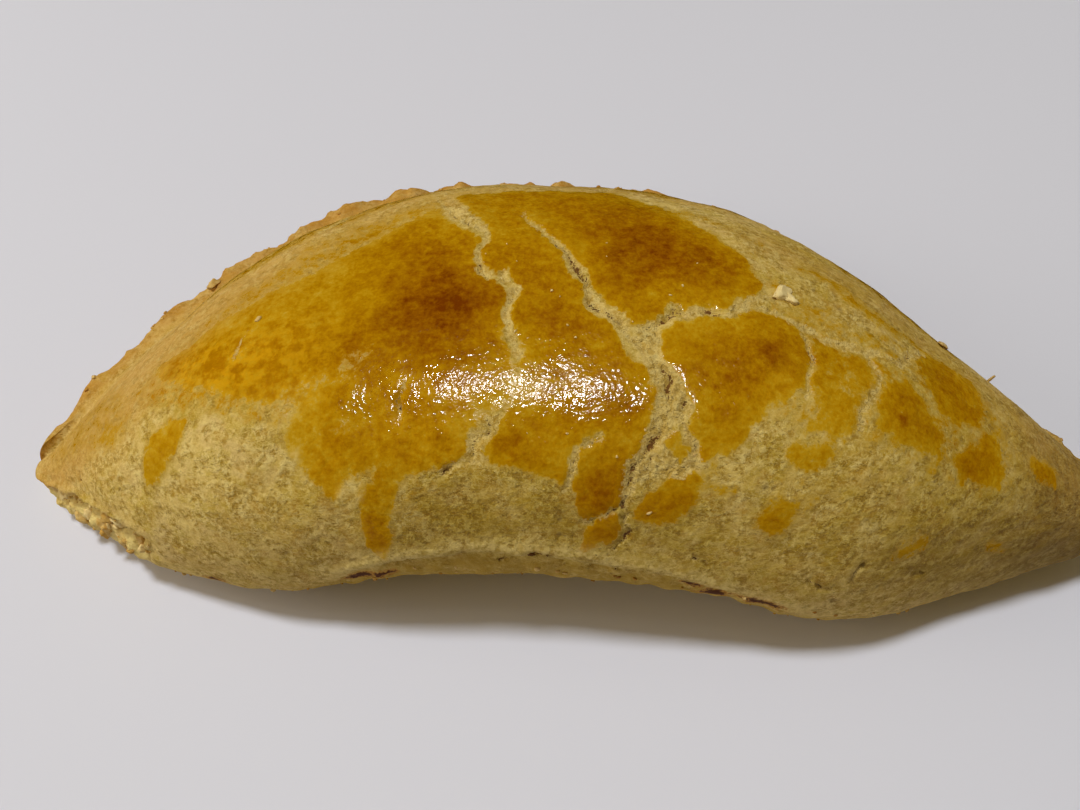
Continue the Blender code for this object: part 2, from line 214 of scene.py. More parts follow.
# ---- the wash and the oven's colour ---------------------------------------------------------
# Where the egg wash lies: how thick it is, how soft its edge in mm, and its outline of (x, way over).
WASH = (
    # the big field on the left, with its run and its spike at the lower edge
    (1, 1, ((-9.1, 0.608), (-9.8, 0.587), (-9.8, 0.565), (-9.4, 0.54), (-8.1, 0.519), (-6.8, 0.519),
        (-5.7, 0.492), (-6.1, 0.465), (-5.8, 0.43), (-4.9, 0.4), (-4, 0.36), (-4.5, 0.335), (-6.2, 0.318),
        (-7.5, 0.308), (-8.6, 0.29), (-9.5, 0.261), (-12.2, 0.25), (-14.6, 0.245), (-15.8, 0.225),
        (-16.2, 0.17), (-16.6, 0.14), (-17.4, 0.106), (-19, 0.125), (-19.4, 0.173), (-19.4, 0.226),
        (-20.3, 0.253), (-21.1, 0.25), (-21.6, 0.222), (-22.9, 0.24), (-24.8, 0.275), (-26.7, 0.315),
        (-27, 0.348), (-25.6, 0.367), (-29, 0.39), (-34.5, 0.43), (-38, 0.47), (-43, 0.525), (-45.7, 0.575),
        (-40, 0.6), (-34, 0.62), (-27.5, 0.625), (-22, 0.665), (-16, 0.71), (-13.6, 0.68), (-12.1, 0.652),
        (-10.2, 0.626))),
    # between the two long cracks, and on down to the middle of the front
    (1, 0.7, ((-13.5, 0.75), (-12, 0.7), (-10.4, 0.668), (-8.5, 0.642), (-8.1, 0.612), (-9, 0.588),
        (-9, 0.565), (-8.5, 0.545), (-7.2, 0.533), (-6, 0.543), (-5.4, 0.52), (-4.3, 0.5), (-5.2, 0.475),
        (-5.2, 0.455), (-4.7, 0.43), (-3.8, 0.405), (-4.4, 0.385), (-4.8, 0.35), (-4.6, 0.325),
        (-5.4, 0.305), (-7.3, 0.275), (-6.5, 0.257), (-4.1, 0.255), (-1.5, 0.243), (0.7, 0.235),
        (0.8, 0.262), (1.1, 0.282), (2.4, 0.294), (3.7, 0.301), (6, 0.288), (8.4, 0.293), (8.6, 0.314),
        (9, 0.336), (9.2, 0.351), (8.2, 0.372), (7.3, 0.388), (6.5, 0.402), (5.2, 0.424), (4.4, 0.443),
        (2.9, 0.458), (1.9, 0.474), (2.2, 0.495), (1.9, 0.51), (0.7, 0.53), (-0.2, 0.555), (-1, 0.58),
        (-2.3, 0.618), (-4.6, 0.668), (-5.2, 0.76))),
    # the big field on the right's upper half
    (1, 0.9, ((-5.8, 0.745), (-5.2, 0.672), (-2, 0.62), (-0.1, 0.58), (1, 0.556), (2.2, 0.538),
        (3.3, 0.515), (3.7, 0.492), (4.2, 0.477), (5.7, 0.463), (6.7, 0.449), (7.5, 0.455), (9.6, 0.475),
        (10.8, 0.494), (12.2, 0.485), (13.8, 0.493), (16.2, 0.5), (17.2, 0.515), (18.6, 0.532),
        (20.2, 0.552), (18.8, 0.6), (15.4, 0.66), (11.5, 0.71), (5, 0.76))),
    # under its crack, down to the open dough
    (1, 0.8, ((9.4, 0.447), (10, 0.457), (11.2, 0.469), (12.4, 0.467), (13.8, 0.475), (15.8, 0.481),
        (17.5, 0.492), (19, 0.508), (24, 0.495), (24, 0.45), (22.8, 0.405), (20.6, 0.37), (19, 0.345),
        (18, 0.325), (17, 0.307), (15.4, 0.293), (13.8, 0.281), (13.7, 0.292), (13.2, 0.306), (12, 0.318),
        (12.3, 0.332), (12.2, 0.347), (11.5, 0.368), (10.7, 0.384), (9.6, 0.404), (9.4, 0.43))),
    # plates round the lower part of the main crack
    (0.95, 0.5, ((1.6, 0.28), (2.8, 0.29), (4, 0.299), (8.2, 0.3), (8.2, 0.284), (6.8, 0.274), (6.5, 0.26),
        (6.8, 0.242), (6.7, 0.222), (6.3, 0.203), (4.5, 0.186), (2.9, 0.178), (2.1, 0.205), (1.6, 0.227))),
    (0.85, 0.6, ((2.8, 0.169), (4.4, 0.179), (6.1, 0.192), (6.6, 0.165), (6, 0.147), (4.1, 0.139),
        (2.9, 0.128))),
    (0.88, 0.9, ((7.3, 0.192), (8.2, 0.217), (9.6, 0.245), (11, 0.257), (13.2, 0.267), (14.2, 0.246),
        (13.8, 0.225), (11.8, 0.199), (9.4, 0.189))),
    (0.85, 0.5, ((10.6, 0.316), (11.5, 0.309), (12.8, 0.297), (12.6, 0.282), (11.8, 0.273), (11, 0.287),
        (10.3, 0.301))),
    # broken patches towards the right tip
    (0.86, 1.2, ((25.5, 0.5), (30.6, 0.495), (30.6, 0.465), (28.9, 0.431), (28, 0.385), (26.7, 0.36),
        (23.2, 0.35), (24.6, 0.4), (24.6, 0.44))),
    (0.9, 1, ((30.9, 0.44), (31.8, 0.47), (34.2, 0.503), (36.6, 0.482), (38, 0.43), (37.4, 0.4),
        (33.5, 0.386), (30.6, 0.4))),
    (0.88, 1.1, ((36.8, 0.585), (39.6, 0.62), (44, 0.622), (44.8, 0.58), (42.8, 0.53), (42.6, 0.5),
        (40.4, 0.47), (38.2, 0.48), (37.2, 0.52))),
    (0.5, 1, ((32, 0.505), (35.8, 0.515), (34, 0.49))),
    (0.95, 1, ((39, 0.405), (42.6, 0.444), (43.5, 0.494), (45.1, 0.511), (45.8, 0.46), (45.1, 0.397),
        (43.4, 0.385), (40.2, 0.368))),
    (0.85, 1, ((48.8, 0.48), (50.8, 0.515), (52.8, 0.487), (52.5, 0.441), (50.5, 0.43))),
    (0.55, 1, ((35.1, 0.377), (36.8, 0.402), (38.2, 0.4), (36.8, 0.366), (34.4, 0.347))),
    (0.85, 0.8, ((21.2, 0.31), (22.4, 0.33), (25.9, 0.346), (26.4, 0.335), (23.6, 0.308))),
    (0.5, 1, ((21, 0.255), (23.5, 0.28), (25.6, 0.287), (25, 0.268), (23, 0.245))),
    (0.75, 0.9, ((19.7, 0.244), (21.3, 0.261), (22.9, 0.263), (22.4, 0.215), (20.6, 0.206), (19.3, 0.22))),
    (0.38, 1.2, ((21, 0.29), (23.8, 0.3), (23.6, 0.27), (21.3, 0.26))),
    (0.55, 0.9, ((13.8, 0.268), (14.7, 0.284), (15.8, 0.288), (15.4, 0.256), (14.5, 0.256))),
    (0.45, 0.9, ((15, 0.254), (16.8, 0.255), (17, 0.241), (15.6, 0.238))),
    (0.4, 1, ((34.5, 0.296), (37, 0.315), (36.8, 0.3))),
    (0.5, 0.8, ((20.9, 0.575), (23.2, 0.605), (24, 0.582), (22, 0.557))),
    (0.42, 1.2, ((24, 0.575), (26.7, 0.592), (28.5, 0.571), (30, 0.545), (27.5, 0.512), (22.8, 0.522))),
    (0.55, 1.2, ((25.5, 0.64), (30, 0.645), (36.5, 0.625), (34.7, 0.585), (29.5, 0.605))),
    (0.62, 0.8, ((33.8, 0.216), (34.3, 0.25), (36, 0.27), (37.7, 0.283), (37.6, 0.265), (36.3, 0.228),
        (34.8, 0.207))),
    (0.52, 0.9, ((44.9, 0.265), (45.6, 0.288), (48, 0.275), (49.5, 0.22), (47.2, 0.213))),
    (0.55, 0.7, ((14.4, 0.249), (17.9, 0.26), (17.5, 0.241), (14.9, 0.23))),
    (0.6, 0.8, ((24, 0.64), (27.5, 0.66), (31, 0.64), (28.5, 0.625))),
    (0.6, 0.8, ((34, 0.62), (37, 0.63), (40.5, 0.62), (38, 0.6))),
    # thinly brushed beside the big field's lower left
    (0.48, 1.6, ((-24, 0.3), (-24.5, 0.37), (-30, 0.44), (-40, 0.52), (-46, 0.57), (-49, 0.53), (-43, 0.46),
        (-35, 0.395), (-29, 0.365), (-27.5, 0.33))),
    (0.3, 1, ((-16.5, 0.15), (-16.2, 0.2), (-13, 0.24), (-10, 0.235), (-13, 0.215), (-14.5, 0.18))),
    # the left end
    (0.8, 0.8, ((-39.8, 0.43), (-43.2, 0.405), (-43.6, 0.35), (-43.9, 0.305), (-43.2, 0.292), (-41.5, 0.32),
        (-39, 0.365), (-38.2, 0.415))),
    (0.42, 1.6, ((-63.3, 0.6), (-60.5, 0.7), (-56, 0.72), (-49.5, 0.58), (-46.5, 0.46), (-48.5, 0.4),
        (-54, 0.41), (-60, 0.42))),
    (0.62, 0.8, ((-51, 0.5), (-48.6, 0.47), (-48.8, 0.42), (-51, 0.42), (-52.6, 0.45))),
    (0.5, 1, ((-38.6, 0.62), (-36, 0.66), (-33.5, 0.63), (-35.8, 0.6))),
    (0.6, 0.9, ((-27, 0.69), (-22.5, 0.71), (-22, 0.68), (-25.5, 0.665))),
    (0.5, 2.6, ((-46, 0.59), (-40, 0.65), (-32, 0.7), (-24, 0.735), (-15, 0.75), (-13.5, 0.69),
        (-22, 0.655), (-30, 0.62), (-38, 0.6))),
    # a thin film between the patches on the right
    (0.43, 2.5, ((21, 0.53), (28, 0.545), (36, 0.6), (44, 0.625), (48, 0.54), (47, 0.42), (42, 0.36),
        (34, 0.37), (26, 0.35), (20, 0.345))),
    (0.62, 1, ((23.5, 0.37), (24.4, 0.488), (27, 0.497), (31, 0.51), (33, 0.49), (30, 0.44), (28.5, 0.383),
        (26, 0.36))),
    # streaks along the crest
    (0.42, 1.4, ((-34, 0.66), (-30, 0.73), (-22, 0.72), (-14, 0.705), (-14, 0.685), (-22, 0.675),
        (-28, 0.665))),
    (0.42, 1.2, ((-6, 0.72), (4, 0.745), (14, 0.72), (22, 0.67), (22, 0.645), (12, 0.7), (2, 0.725))),
    # behind the crest, where the brush ran thin
    (0.55, 1.8, ((-46, 0.74), (-30, 0.76), (-12, 0.8), (-9, 0.9), (-22, 0.93), (-38, 0.9))),
    (0.6, 1.8, ((-4, 0.82), (12, 0.78), (24, 0.8), (26, 0.9), (12, 0.95), (-3, 0.92))),
    (0.55, 1.6, ((31, 0.72), (44, 0.7), (50, 0.78), (42, 0.9), (31, 0.88))),
)

# Spots of colour are (x, way over, half-length and half-width in mm, strength).
# Where the wash has run thin over pale dough.
THINNED = (
    (-4.2, 0.385, 1.2, 2.8, 0.45), (-7.4, 0.318, 2.2, 1.6, 0.5), (8.6, 0.352, 0.9, 1.8, 0.3),
    (-25, 0.4, 4, 2, 0.35), (-20.9, 0.42, 2.5, 2.5, 0.4), (-18.2, 0.25, 2.2, 1.3, 0.55),
    (-21.6, 0.325, 2.2, 1, 0.5), (-13, 0.33, 0.8, 4, 0.3), (1, 0.262, 2, 1.5, 0.3), (28, 0.44, 2.5, 3, 0.3),
    (-34, 0.52, 1.5, 2.5, 0.35),
)
# Browned wash; where the strength is below zero the wash is paler, under the highlight and, as painted light,
# over the left side.
BROWNED_AND_PAINTED_LIGHT = (
    (-12, 0.5, 8.5, 6.5, 0.52), (-16, 0.52, 4, 3.5, 0.22), (-9.5, 0.47, 4.5, 4, 0.35),
    (-20, 0.46, 4, 3, 0.25), (-28, 0.5, 5, 4, 0.15), (-23, 0.43, 4, 3, 0.15), (-13, 0.37, 3, 3, 0.2),
    (10, 0.57, 7.5, 5, 0.55), (8, 0.61, 3.5, 3, 0.25), (5, 0.67, 5, 3, 0.25), (14.5, 0.6, 4, 3, 0.15),
    (1, 0.44, 3, 4, 0.2), (6, 0.34, 3, 2.5, 0.2), (20.3, 0.45, 1.5, 1.3, 0.6), (18.3, 0.41, 3, 2.5, 0.12),
    (4.2, 0.23, 2.4, 3, 0.3), (4.6, 0.16, 2, 1.3, 0.35), (10, 0.215, 2.5, 1.5, 0.2),
    (41.3, 0.4, 1.6, 1.6, 0.5), (43.8, 0.45, 2.4, 2.4, 0.2), (51, 0.455, 1.6, 1.6, 0.6),
    (41, 0.53, 2.4, 2.4, 0.2), (33.3, 0.43, 0.5, 0.6, 0.9), (34.5, 0.45, 2.2, 2.4, 0.25),
    (-18, 0.16, 1.2, 4, 0.25), (-23, 0.26, 1.6, 2.4, 0.15), (-5, 0.275, 1.6, 1.3, 0.5),
    (-12, 0.28, 3, 2, 0.1), (-25, 0.685, 2.4, 1, 0.3), (-20, 0.85, 8, 5, 0.3), (12, 0.88, 9, 5, 0.35),
    (38, 0.8, 6, 5, 0.3), (20.5, 0.57, 0.7, 0.8, 0.5), (-37, 0.55, 11, 6, -0.3), (-27, 0.5, 6, 5, -0.3),
    (-22, 0.54, 6, 4, -0.22), (-16, 0.33, 9, 6, -0.26), (4.4, 0.19, 4, 4, 0.22), (11, 0.215, 4, 3, 0.15),
    (-20, 0.5, 5, 4, -0.15), (7, 0.4, 4, 4, 0.15), (-26, 0.35, 5, 5, -0.28), (22, 0.47, 3, 2, 0.15),
    (-1.5, 0.352, 6, 2.4, -0.35),
)
# Where the wash is a lighter, redder orange, with burnt flecks.
AMBER = (
    (-34, 0.48, 9, 4, 0.9), (-27, 0.4, 5, 3, 0.5), (-42, 0.55, 5, 4, 0.7), (-23, 0.28, 2, 5, 0.3),
    (-13, 0.31, 4, 4, 0.4), (20, 0.4, 3, 3, 0.25), (43, 0.6, 3, 3, 0.3),
)
# Burnt spots on the fold's lower edge.
SCORCHED = (
    (-20.6, 0.06, 2, 0.7, 0.95), (-18.3, 0.058, 1.6, 0.7, 0.9), (14.5, 0.074, 1.2, 0.6, 0.8),
    (17, 0.052, 1.8, 0.9, 0.95), (22, 0.06, 2.4, 1, 1), (-38.6, 0.055, 1.4, 0.6, 0.8),
)
# Yellow stains of thin wash on the dough, which along the front also darken it as painted shade.
STAINED_AND_SHADED = (
    (-11, 0.18, 8, 6, 1), (2, 0.2, 8, 6, 0.8), (12, 0.2, 7, 6, 0.6), (24, 0.28, 8, 6, 0.5),
    (-2, 0.12, 14, 4, 0.6), (24, 0.42, 6, 7, 0.35), (26, 0.56, 7, 4, 0.5), (40, 0.4, 7, 9, 0.5),
    (36, 0.24, 9, 7, 0.9), (-25, 0.24, 6, 5, 0.5), (48, 0.25, 8, 7, 0.8), (20, 0.14, 12, 5, 0.6),
    (28, 0.7, 9, 6, 0.7), (40, 0.64, 9, 6, 0.7), (49, 0.5, 6, 6, 0.6), (2, 0.8, 16, 3, 0.5),
)
# Dough darkened by the oven and, at the right tip and along the front, by painted shade; and dough toasted
# golden brown.
BAKED_AND_SHADED = (
    (62, 0.45, 12, 16, 1), (55, 0.42, 5, 6, 0.45), (-29, 0.13, 9, 4, 0.35), (-17, 0.12, 7, 4, 0.2),
    (57, 0.25, 6, 6, 0.2), (-1, 0.8, 9, 3, 0.3), (50, 0.2, 9, 9, 0.4), (36, 0.22, 8, 6, 0.25),
    (-11, 0.17, 7, 5, 0.3), (2, 0.17, 8, 4, 0.2),
)
TOASTED = (
    (-48, 0.56, 6, 6, 1), (-56, 0.62, 7, 7, 1), (-44, 0.7, 9, 5, 0.8), (-58, 0.4, 5, 3, 0.6),
    (-32, 0.69, 12, 5, 0.7), (-39, 0.63, 7, 3.5, 0.6), (-18, 0.73, 8, 3, 0.5), (24, 0.68, 10, 3, 0.35),
    (-62, 0.4, 3, 5, 0.5), (6, 0.785, 24, 1.8, 0.5), (-26, 0.78, 10, 1.8, 0.5), (40, 0.66, 10, 3, 0.3),
    (52, 0.55, 6, 5, 0.45), (-30, 0.95, 14, 5, 0.5), (5, 0.97, 18, 5, 0.5), (38, 0.92, 12, 5, 0.5),
)


# ---- numbers over the grid ------------------------------------------------------------------
def smoothstep(low, high, value):
    t = np.clip((value - low) / (high - low), 0, 1)
    return t * t * (3 - 2 * t)


def bell(value, width):
    return np.exp(-(value / width) ** 2)


def unit(vectors):
    return vectors / np.maximum(np.linalg.norm(vectors, axis=-1, keepdims=True), TINY)


def section_size(name, angle):
    """One of the section's sizes in metres at these angles, on a smooth curve through its values."""
    places = np.array(ANGLE, float)
    values = np.array(SECTION[name], float) * MM
    slopes = np.gradient(values, places)
    i = np.clip(np.searchsorted(places, angle) - 1, 0, len(places) - 2)
    step = places[i + 1] - places[i]
    t = (angle - places[i]) / step
    return ((1 + 2 * t) * (1 - t) ** 2 * values[i] + t * (1 - t) ** 2 * step * slopes[i]
            + t * t * (3 - 2 * t) * values[i + 1] + t * t * (t - 1) * step * slopes[i + 1])


def section_controls(angle):
    """Control points (y, z) round each cross-section, as in the solid."""
    front, back, height, fold, base, crown, width, seal = (section_size(name, angle) for name in SECTION)
    root = back - width
    depth = root - front
    seal_top = seal + SEAL_THICKNESS
    points = []

    def crust(across, z):
        points.append(np.stack([front + across * depth, z], -1))

    def rim(across, z):
        points.append(np.stack([root + across * width, z], -1))

    crust(0.60, base - PRESS)
    crust(0.40, base - PRESS)
    crust(0.22, (base + fold) / 2 - 0.6 * PRESS)
    crust(0.09, 0.9 * fold + 0.2 * PRESS)
    crust(0.00, fold + 0.10 * height)
    crust(-0.035, fold + 0.30 * (height - fold))
    crust(0.015, fold + 0.66 * (height - fold))
    crust(0.13, fold + 0.93 * (height - fold))
    crust(0.30, 1.02 * height)
    crust(0.48, 1.03 * height)
    crust(0.66, 0.97 * height + 0.5 * crown)
    crust(0.83, 0.84 * height + crown)
    crust(0.955, np.maximum(0.60 * height + crown, seal_top))
    crust(1.00, np.maximum(0.30 * height, seal_top))
    rim(0.30, seal_top)
    rim(0.75, seal_top)
    rim(1.05, seal + 0.85 * SEAL_THICKNESS)
    rim(1.05, seal + 0.10 * SEAL_THICKNESS)
    rim(0.60, seal)
    rim(0.00, base + 0.80 * (seal - base))
    crust(0.88, base + 0.25 * (seal - base))
    crust(0.76, base - PRESS)

    controls = np.stack(points, -2)
    beyond = np.clip((np.abs(angle) - TIP_START) / (90 - TIP_START), 0, 1)
    shrink = np.sqrt(1 - beyond ** 2)[:, None, None]
    middle = np.stack([(front + back) / 2, (fold + height) / 2], -1)[:, None]
    return middle + (controls - middle) * shrink


def row_positions(count):
    """Where the points of a ring lie among the control rows, fewer of them on the underside."""
    rows = np.linspace(0, BASE_ROW, ROW_STEPS)
    on_base = (rows < LOWER_FRONT - 1.5) | (rows > BASE_ROW - 2)
    way = np.concatenate([[0], np.cumsum(np.where(on_base, BASE_SHARE, 1.0)[1:])])
    return np.interp(np.linspace(0, way[-1], count, endpoint=False), way, rows)


def spline_weights(rows, controls):
    """Weights of a closed uniform cubic B-spline at these rows."""
    weights = np.zeros((len(rows), controls))
    cell = np.floor(rows).astype(int)
    t = rows - cell
    blend = ((1 - t) ** 3 / 6, (3 * t ** 3 - 6 * t ** 2 + 4) / 6,
             (-3 * t ** 3 + 3 * t ** 2 + 3 * t + 1) / 6, t ** 3 / 6)
    for k, weight in enumerate(blend):
        weights[np.arange(len(rows)), (cell + k - 1) % controls] += weight
    return weights


def crust_grid(rings, ring_points):
    """The plain form: points[ring, place], with the row of each place; rings crowd at the tips."""
    even = np.linspace(-1, 1, rings)
    along = 1.125 * even - 0.125 * even ** 9
    angle = np.degrees(np.arcsin(np.clip(along, -1, 1)))
    rows = row_positions(ring_points)
    controls = section_controls(angle)
    points = np.empty((rings, ring_points, 3))
    points[..., 0] = along[:, None] * LENGTH / 2
    points[..., 1:] = np.einsum("pc,rcd->rpd", spline_weights(rows, controls.shape[1]), controls)
    return points, rows


def way_over(points, rows):
    """How far over the crust each point lies, and the crust's length over each ring."""
    start = int(np.argmin(np.abs(rows - LOWER_FRONT)))
    turned = np.roll(points, -start, axis=1)
    steps = np.linalg.norm(np.diff(turned, axis=1), axis=2)
    way = np.concatenate([np.zeros((len(points), 1)), np.cumsum(steps, axis=1)], axis=1)
    full = way[:, int(np.argmin(np.abs(rows - SEAL_ROOT))) - start]
    around = way[:, -1] + np.linalg.norm(turned[:, 0] - turned[:, -1], axis=1)
    # The last quarter of a ring is the underside next to the fold, which counts back from 0.
    way = np.where(way > 0.75 * around[:, None], way - around[:, None], way)
    full = np.maximum(full[:, None], 1 * MM)
    return np.roll(way, start, axis=1) / full, full * np.ones(points.shape[:2])


def outward(points):
    """Unit normals of the grid."""
    round_ring = np.roll(points, -1, axis=1) - np.roll(points, 1, axis=1)
    return unit(np.cross(np.gradient(points, axis=0), round_ring))


def add_layer(mesh, name, values, kind="FLOAT"):
    """Keeps a number, or a vector, for each of the mesh's points."""
    layer = mesh.attributes.new(name, kind, "POINT")
    layer.data.foreach_set("value" if kind == "FLOAT" else "vector", values.astype(np.float32).ravel())


def plain_mesh():
    """The form as one closed mesh, a pole at each tip; each point knows its place on the crust."""
    points, rows = crust_grid(RINGS, RING_POINTS)
    over, full = way_over(points, rows)
    rings, count = over.shape
    inner = points[1:-1].reshape(-1, 3)
    at = np.arange((rings - 2) * count).reshape(rings - 2, count)
    ahead = np.roll(at, -1, axis=1)
    quads = np.stack([at[:-1], at[1:], ahead[1:], ahead[:-1]], -1).reshape(-1, 4)
    left, right = len(inner), len(inner) + 1
    fans = [(int(a), int(b), left) for a, b in zip(at[0], ahead[0])]
    fans += [(int(b), int(a), right) for a, b in zip(at[-1], ahead[-1])]
    mesh = bpy.data.meshes.new("crust")
    mesh.from_pydata(inner.tolist() + [points[0, 0].tolist(), points[-1, 0].tolist()], [],
                     quads.tolist() + fans)
    row = rows[None, :] * np.ones(over.shape)
    for name, values in (("over", over), ("full", full), ("row", row)):
        add_layer(mesh, name, np.append(values[1:-1].ravel(), [values[0, 0], values[-1, 0]]))
    normals = np.vstack([outward(points)[1:-1].reshape(-1, 3), [[-1, 0, 0], [1, 0, 0]]])
    add_layer(mesh, "outward", normals, "FLOAT_VECTOR")
    return mesh


class Crust:
    """The points of a crust mesh, with their places on the crust and what the noise makes of them."""

    def __init__(self, mesh):
        self.count = len(mesh.vertices)
        self.points = np.empty(self.count * 3)
        mesh.vertices.foreach_get("co", self.points)
        self.points = self.points.reshape(-1, 3)
        self.over, self.full, self.row = (self.read(mesh, name) for name in ("over", "full", "row"))
        self.normals = unit(self.read(mesh, "outward", "vector", 3).reshape(-1, 3))
        self.x = self.points[:, 0]
        self.way = self.over * self.full
        self.wandering_x = self.x + self.rough(WANDER)
        self.wandering_way = self.way + self.rough(WANDER, 50)

    def read(self, mesh, name, kind="value", size=1):
        values = np.empty(self.count * size, np.float32)
        mesh.attributes[name].data.foreach_get(kind, values)
        return values.astype(float)

    def noise(self, wavelength, shift):
        """Smooth noise between -1 and 1 at each point."""
        places = self.points / wavelength + shift
        return np.array([noise.noise(Vector(p)) for p in places.tolist()])

    def rough(self, waves, shift=0):
        """Noises of (wavelength in mm, height in mm, own shift) added up, in metres."""
        return sum(height * MM * self.noise(length * MM, own + shift) for length, height, own in waves)

    def along(self, start, end):
        """For each point, the nearest share of the way from start to end, and its distance."""
        ax, ay = start[0] * MM, start[1] * self.full
        bx, by = end[0] * MM - ax, end[1] * self.full - ay
        px, py = self.wandering_x - ax, self.wandering_way - ay
        t = np.clip((px * bx + py * by) / np.maximum(bx * bx + by * by, TINY), 0, 1)
        return t, np.hypot(px - t * bx, py - t * by)

    def inside(self, outline):
        """Distance to a closed outline, above zero inside it."""
        closed = list(zip(outline, outline[1:] + outline[:1]))
        distance = np.minimum.reduce([self.along(a, b)[1] for a, b in closed])
        x, over = self.wandering_x / MM, self.wandering_way / self.full
        within = np.zeros(self.count, bool)
        for (x0, w0), (x1, w1) in closed:
            if w0 != w1:
                crosses = (w0 > over) != (w1 > over)
                within ^= crosses & (x < x0 + (over - w0) / (w1 - w0) * (x1 - x0))
        return np.where(within, distance, -distance)

    def spot(self, x, over, half_length, half_width, strength=1):
        """A soft spot, as strong as this at its middle."""
        across = (self.way - over * self.full) / (half_width * MM)
        return strength * np.exp(-((self.x - x * MM) / (half_length * MM)) ** 2 - across ** 2)

    def spots(self, table, most=1):
        """Soft spots added up, between 0 and the most."""
        return np.clip(sum(self.spot(*spot) for spot in table), 0, most)

    def pits(self, table):
        """The strongest of round soft spots at each point."""
        return np.maximum.reduce([self.spot(x, over, radius, radius) for x, over, radius in table])

    def below(self, line):
        """How far below a long line across the crust each point lies, in metres."""
        over = np.interp(self.x / MM, [p[0] for p in line], [p[1] for p in line])
        return (over - self.over) * self.full

    def between(self, x0, x1, fade):
        """1 between two places along the pie, fading out over this many mm."""
        return smoothstep(x0 - fade, x0, self.x / MM) * smoothstep(x1 + fade, x1, self.x / MM)


def crack_fields(crust):
    """How far each point is inside the pale split and inside the dark fissure, in metres."""
    band = np.full(crust.count, -FAR)
    fissure = np.full(crust.count, -FAR)
    for line in CRACKS.values():
        for start, end in zip(line, line[1:]):
            t, distance = crust.along(start, end)
            half, gap = ((start[k] + t * (end[k] - start[k])) * MM for k in (2, 3))
            band = np.maximum(band, half - distance)
            fissure = np.maximum(fissure, gap - distance - CLOSED * (gap == 0))
    return band, fissure


def refine_cracks(mesh):
    """Cuts the cells in and beside the cracks into four, where the relief is finest."""
    band, fissure = crack_fields(Crust(mesh))
    near = np.maximum(band, fissure) > -REFINED
    bm = bmesh.new()
    bm.from_mesh(mesh)
    edges = [e for e in bm.edges if near[e.verts[0].index] and near[e.verts[1].index]]
    bmesh.ops.subdivide_edges(bm, edges=edges, cuts=1, use_grid_fill=True)
    bm.to_mesh(mesh)
    bm.free()


# ---- relief and colour fields ---------------------------------------------------------------
def seal_share(crust, reach):
    """1 at the seal's outer edge, falling to 0 over this many rows."""
    return np.clip(1 - np.abs(crust.row - SEAL_RIM) / reach, 0, 1)


def seal_relief(crust):
    """Finger dents and crumbly breaks, only on the pinched seal."""
    dents = np.cos(2 * math.pi * crust.x / CRIMP_PITCH + 2 * crust.noise(30 * MM, 0)) * CRIMP_DEPTH / 2
    return seal_share(crust, 3) * (dents + crust.rough(CRAGS))


def torn_relief(crust):
    """The torn lower corner of the left tip: a ragged lip over a crumbly hollow and a lower lip."""
    below = crust.below(TEAR) + crust.rough(TORN_EDGE)
    lip = LIP_HEIGHT * bell(below + 0.3 * MM, 0.5 * MM)
    hollow = HOLLOW_DEPTH * smoothstep(0, 0.6 * MM, below) * smoothstep(3.6 * MM, 2.2 * MM, below)
    crumb = crust.rough(TORN_CRUMB) * smoothstep(-0.2 * MM, 0.8 * MM, below)
    crumb = crumb * smoothstep(8 * MM, 5 * MM, below)
    return crust.between(TEAR_FROM, TEAR_TO, 3) * (lip - hollow + crumb)


def fold_relief(crust):
    """The fold's lower edge: a soft roll, then the underside turns in, pitted and uneven."""
    edge = crust.below(FRONT_FOLD) + crust.rough(FOLD_EDGE)
    roll = ROLL_HEIGHT * bell(edge + 0.7 * MM, 0.8 * MM)
    turned = smoothstep(0, 0.7 * MM, edge) * smoothstep(14 * MM, 6 * MM, edge)
    pitted = crust.rough(UNDERSIDE_PITS) * turned
    return crust.between(-17, 14, 12) * (roll - UNDERCUT * turned) + pitted * crust.between(-30, 30, 8)


def blister_rims(crust):
    """1 on the round rims of the small burst blisters."""
    rims = np.zeros(crust.count)
    for x, over, radius in BLISTERS:
        away = np.hypot(crust.wandering_x - x * MM, crust.wandering_way - over * crust.full)
        rims = np.maximum(rims, bell(away - radius * MM, BLISTER_RIM))
    return rims


def relief(crust, fields):
    """Height of the baked surface over the plain form, smoother under the wash and none at the tips."""
    wash = fields["wash"]
    split = smoothstep(-0.25, 0.25, fields["band"])
    height = crust.rough(LUMPS) + crust.rough(DOUGH_GRAIN) * (1 - 0.45 * wash) + WASH_HEIGHT * wash
    height = height + seal_relief(crust) + torn_relief(crust) + fold_relief(crust)
    height = height + (crust.rough(SPLIT_CRUMB) - SPLIT_DEPTH) * split
    height = height - FISSURE_DEPTH * smoothstep(-0.2, 0.2, fields["fissure"])
    height = height - PORE_DEPTH * fields["pores"] + BLISTER_HEIGHT * blister_rims(crust)
    return height * np.clip((LENGTH / 2 - np.abs(crust.x)) / TIP_FADE, 0, 1)


def wash_fields(crust, band):
    """How thick the wash lies, and how thick it lies away from its edges."""
    ragged = crust.rough(WASH_EDGE)
    wash = np.zeros(crust.count)
    heart = np.zeros(crust.count)
    for strength, softness, outline in WASH:
        soft = softness * MM * (1 - 0.65 * smoothstep(-2.2 * MM, -0.2 * MM, band))
        inside = crust.inside(outline) + ragged
        wash = np.maximum(wash, strength * smoothstep(-soft, 0.8 * soft, inside))
        heart = np.maximum(heart, strength * smoothstep(0, 4.5 * MM, inside))
    for spot in THINNED:
        wash = wash * (1 - crust.spot(*spot))
    return wash, heart


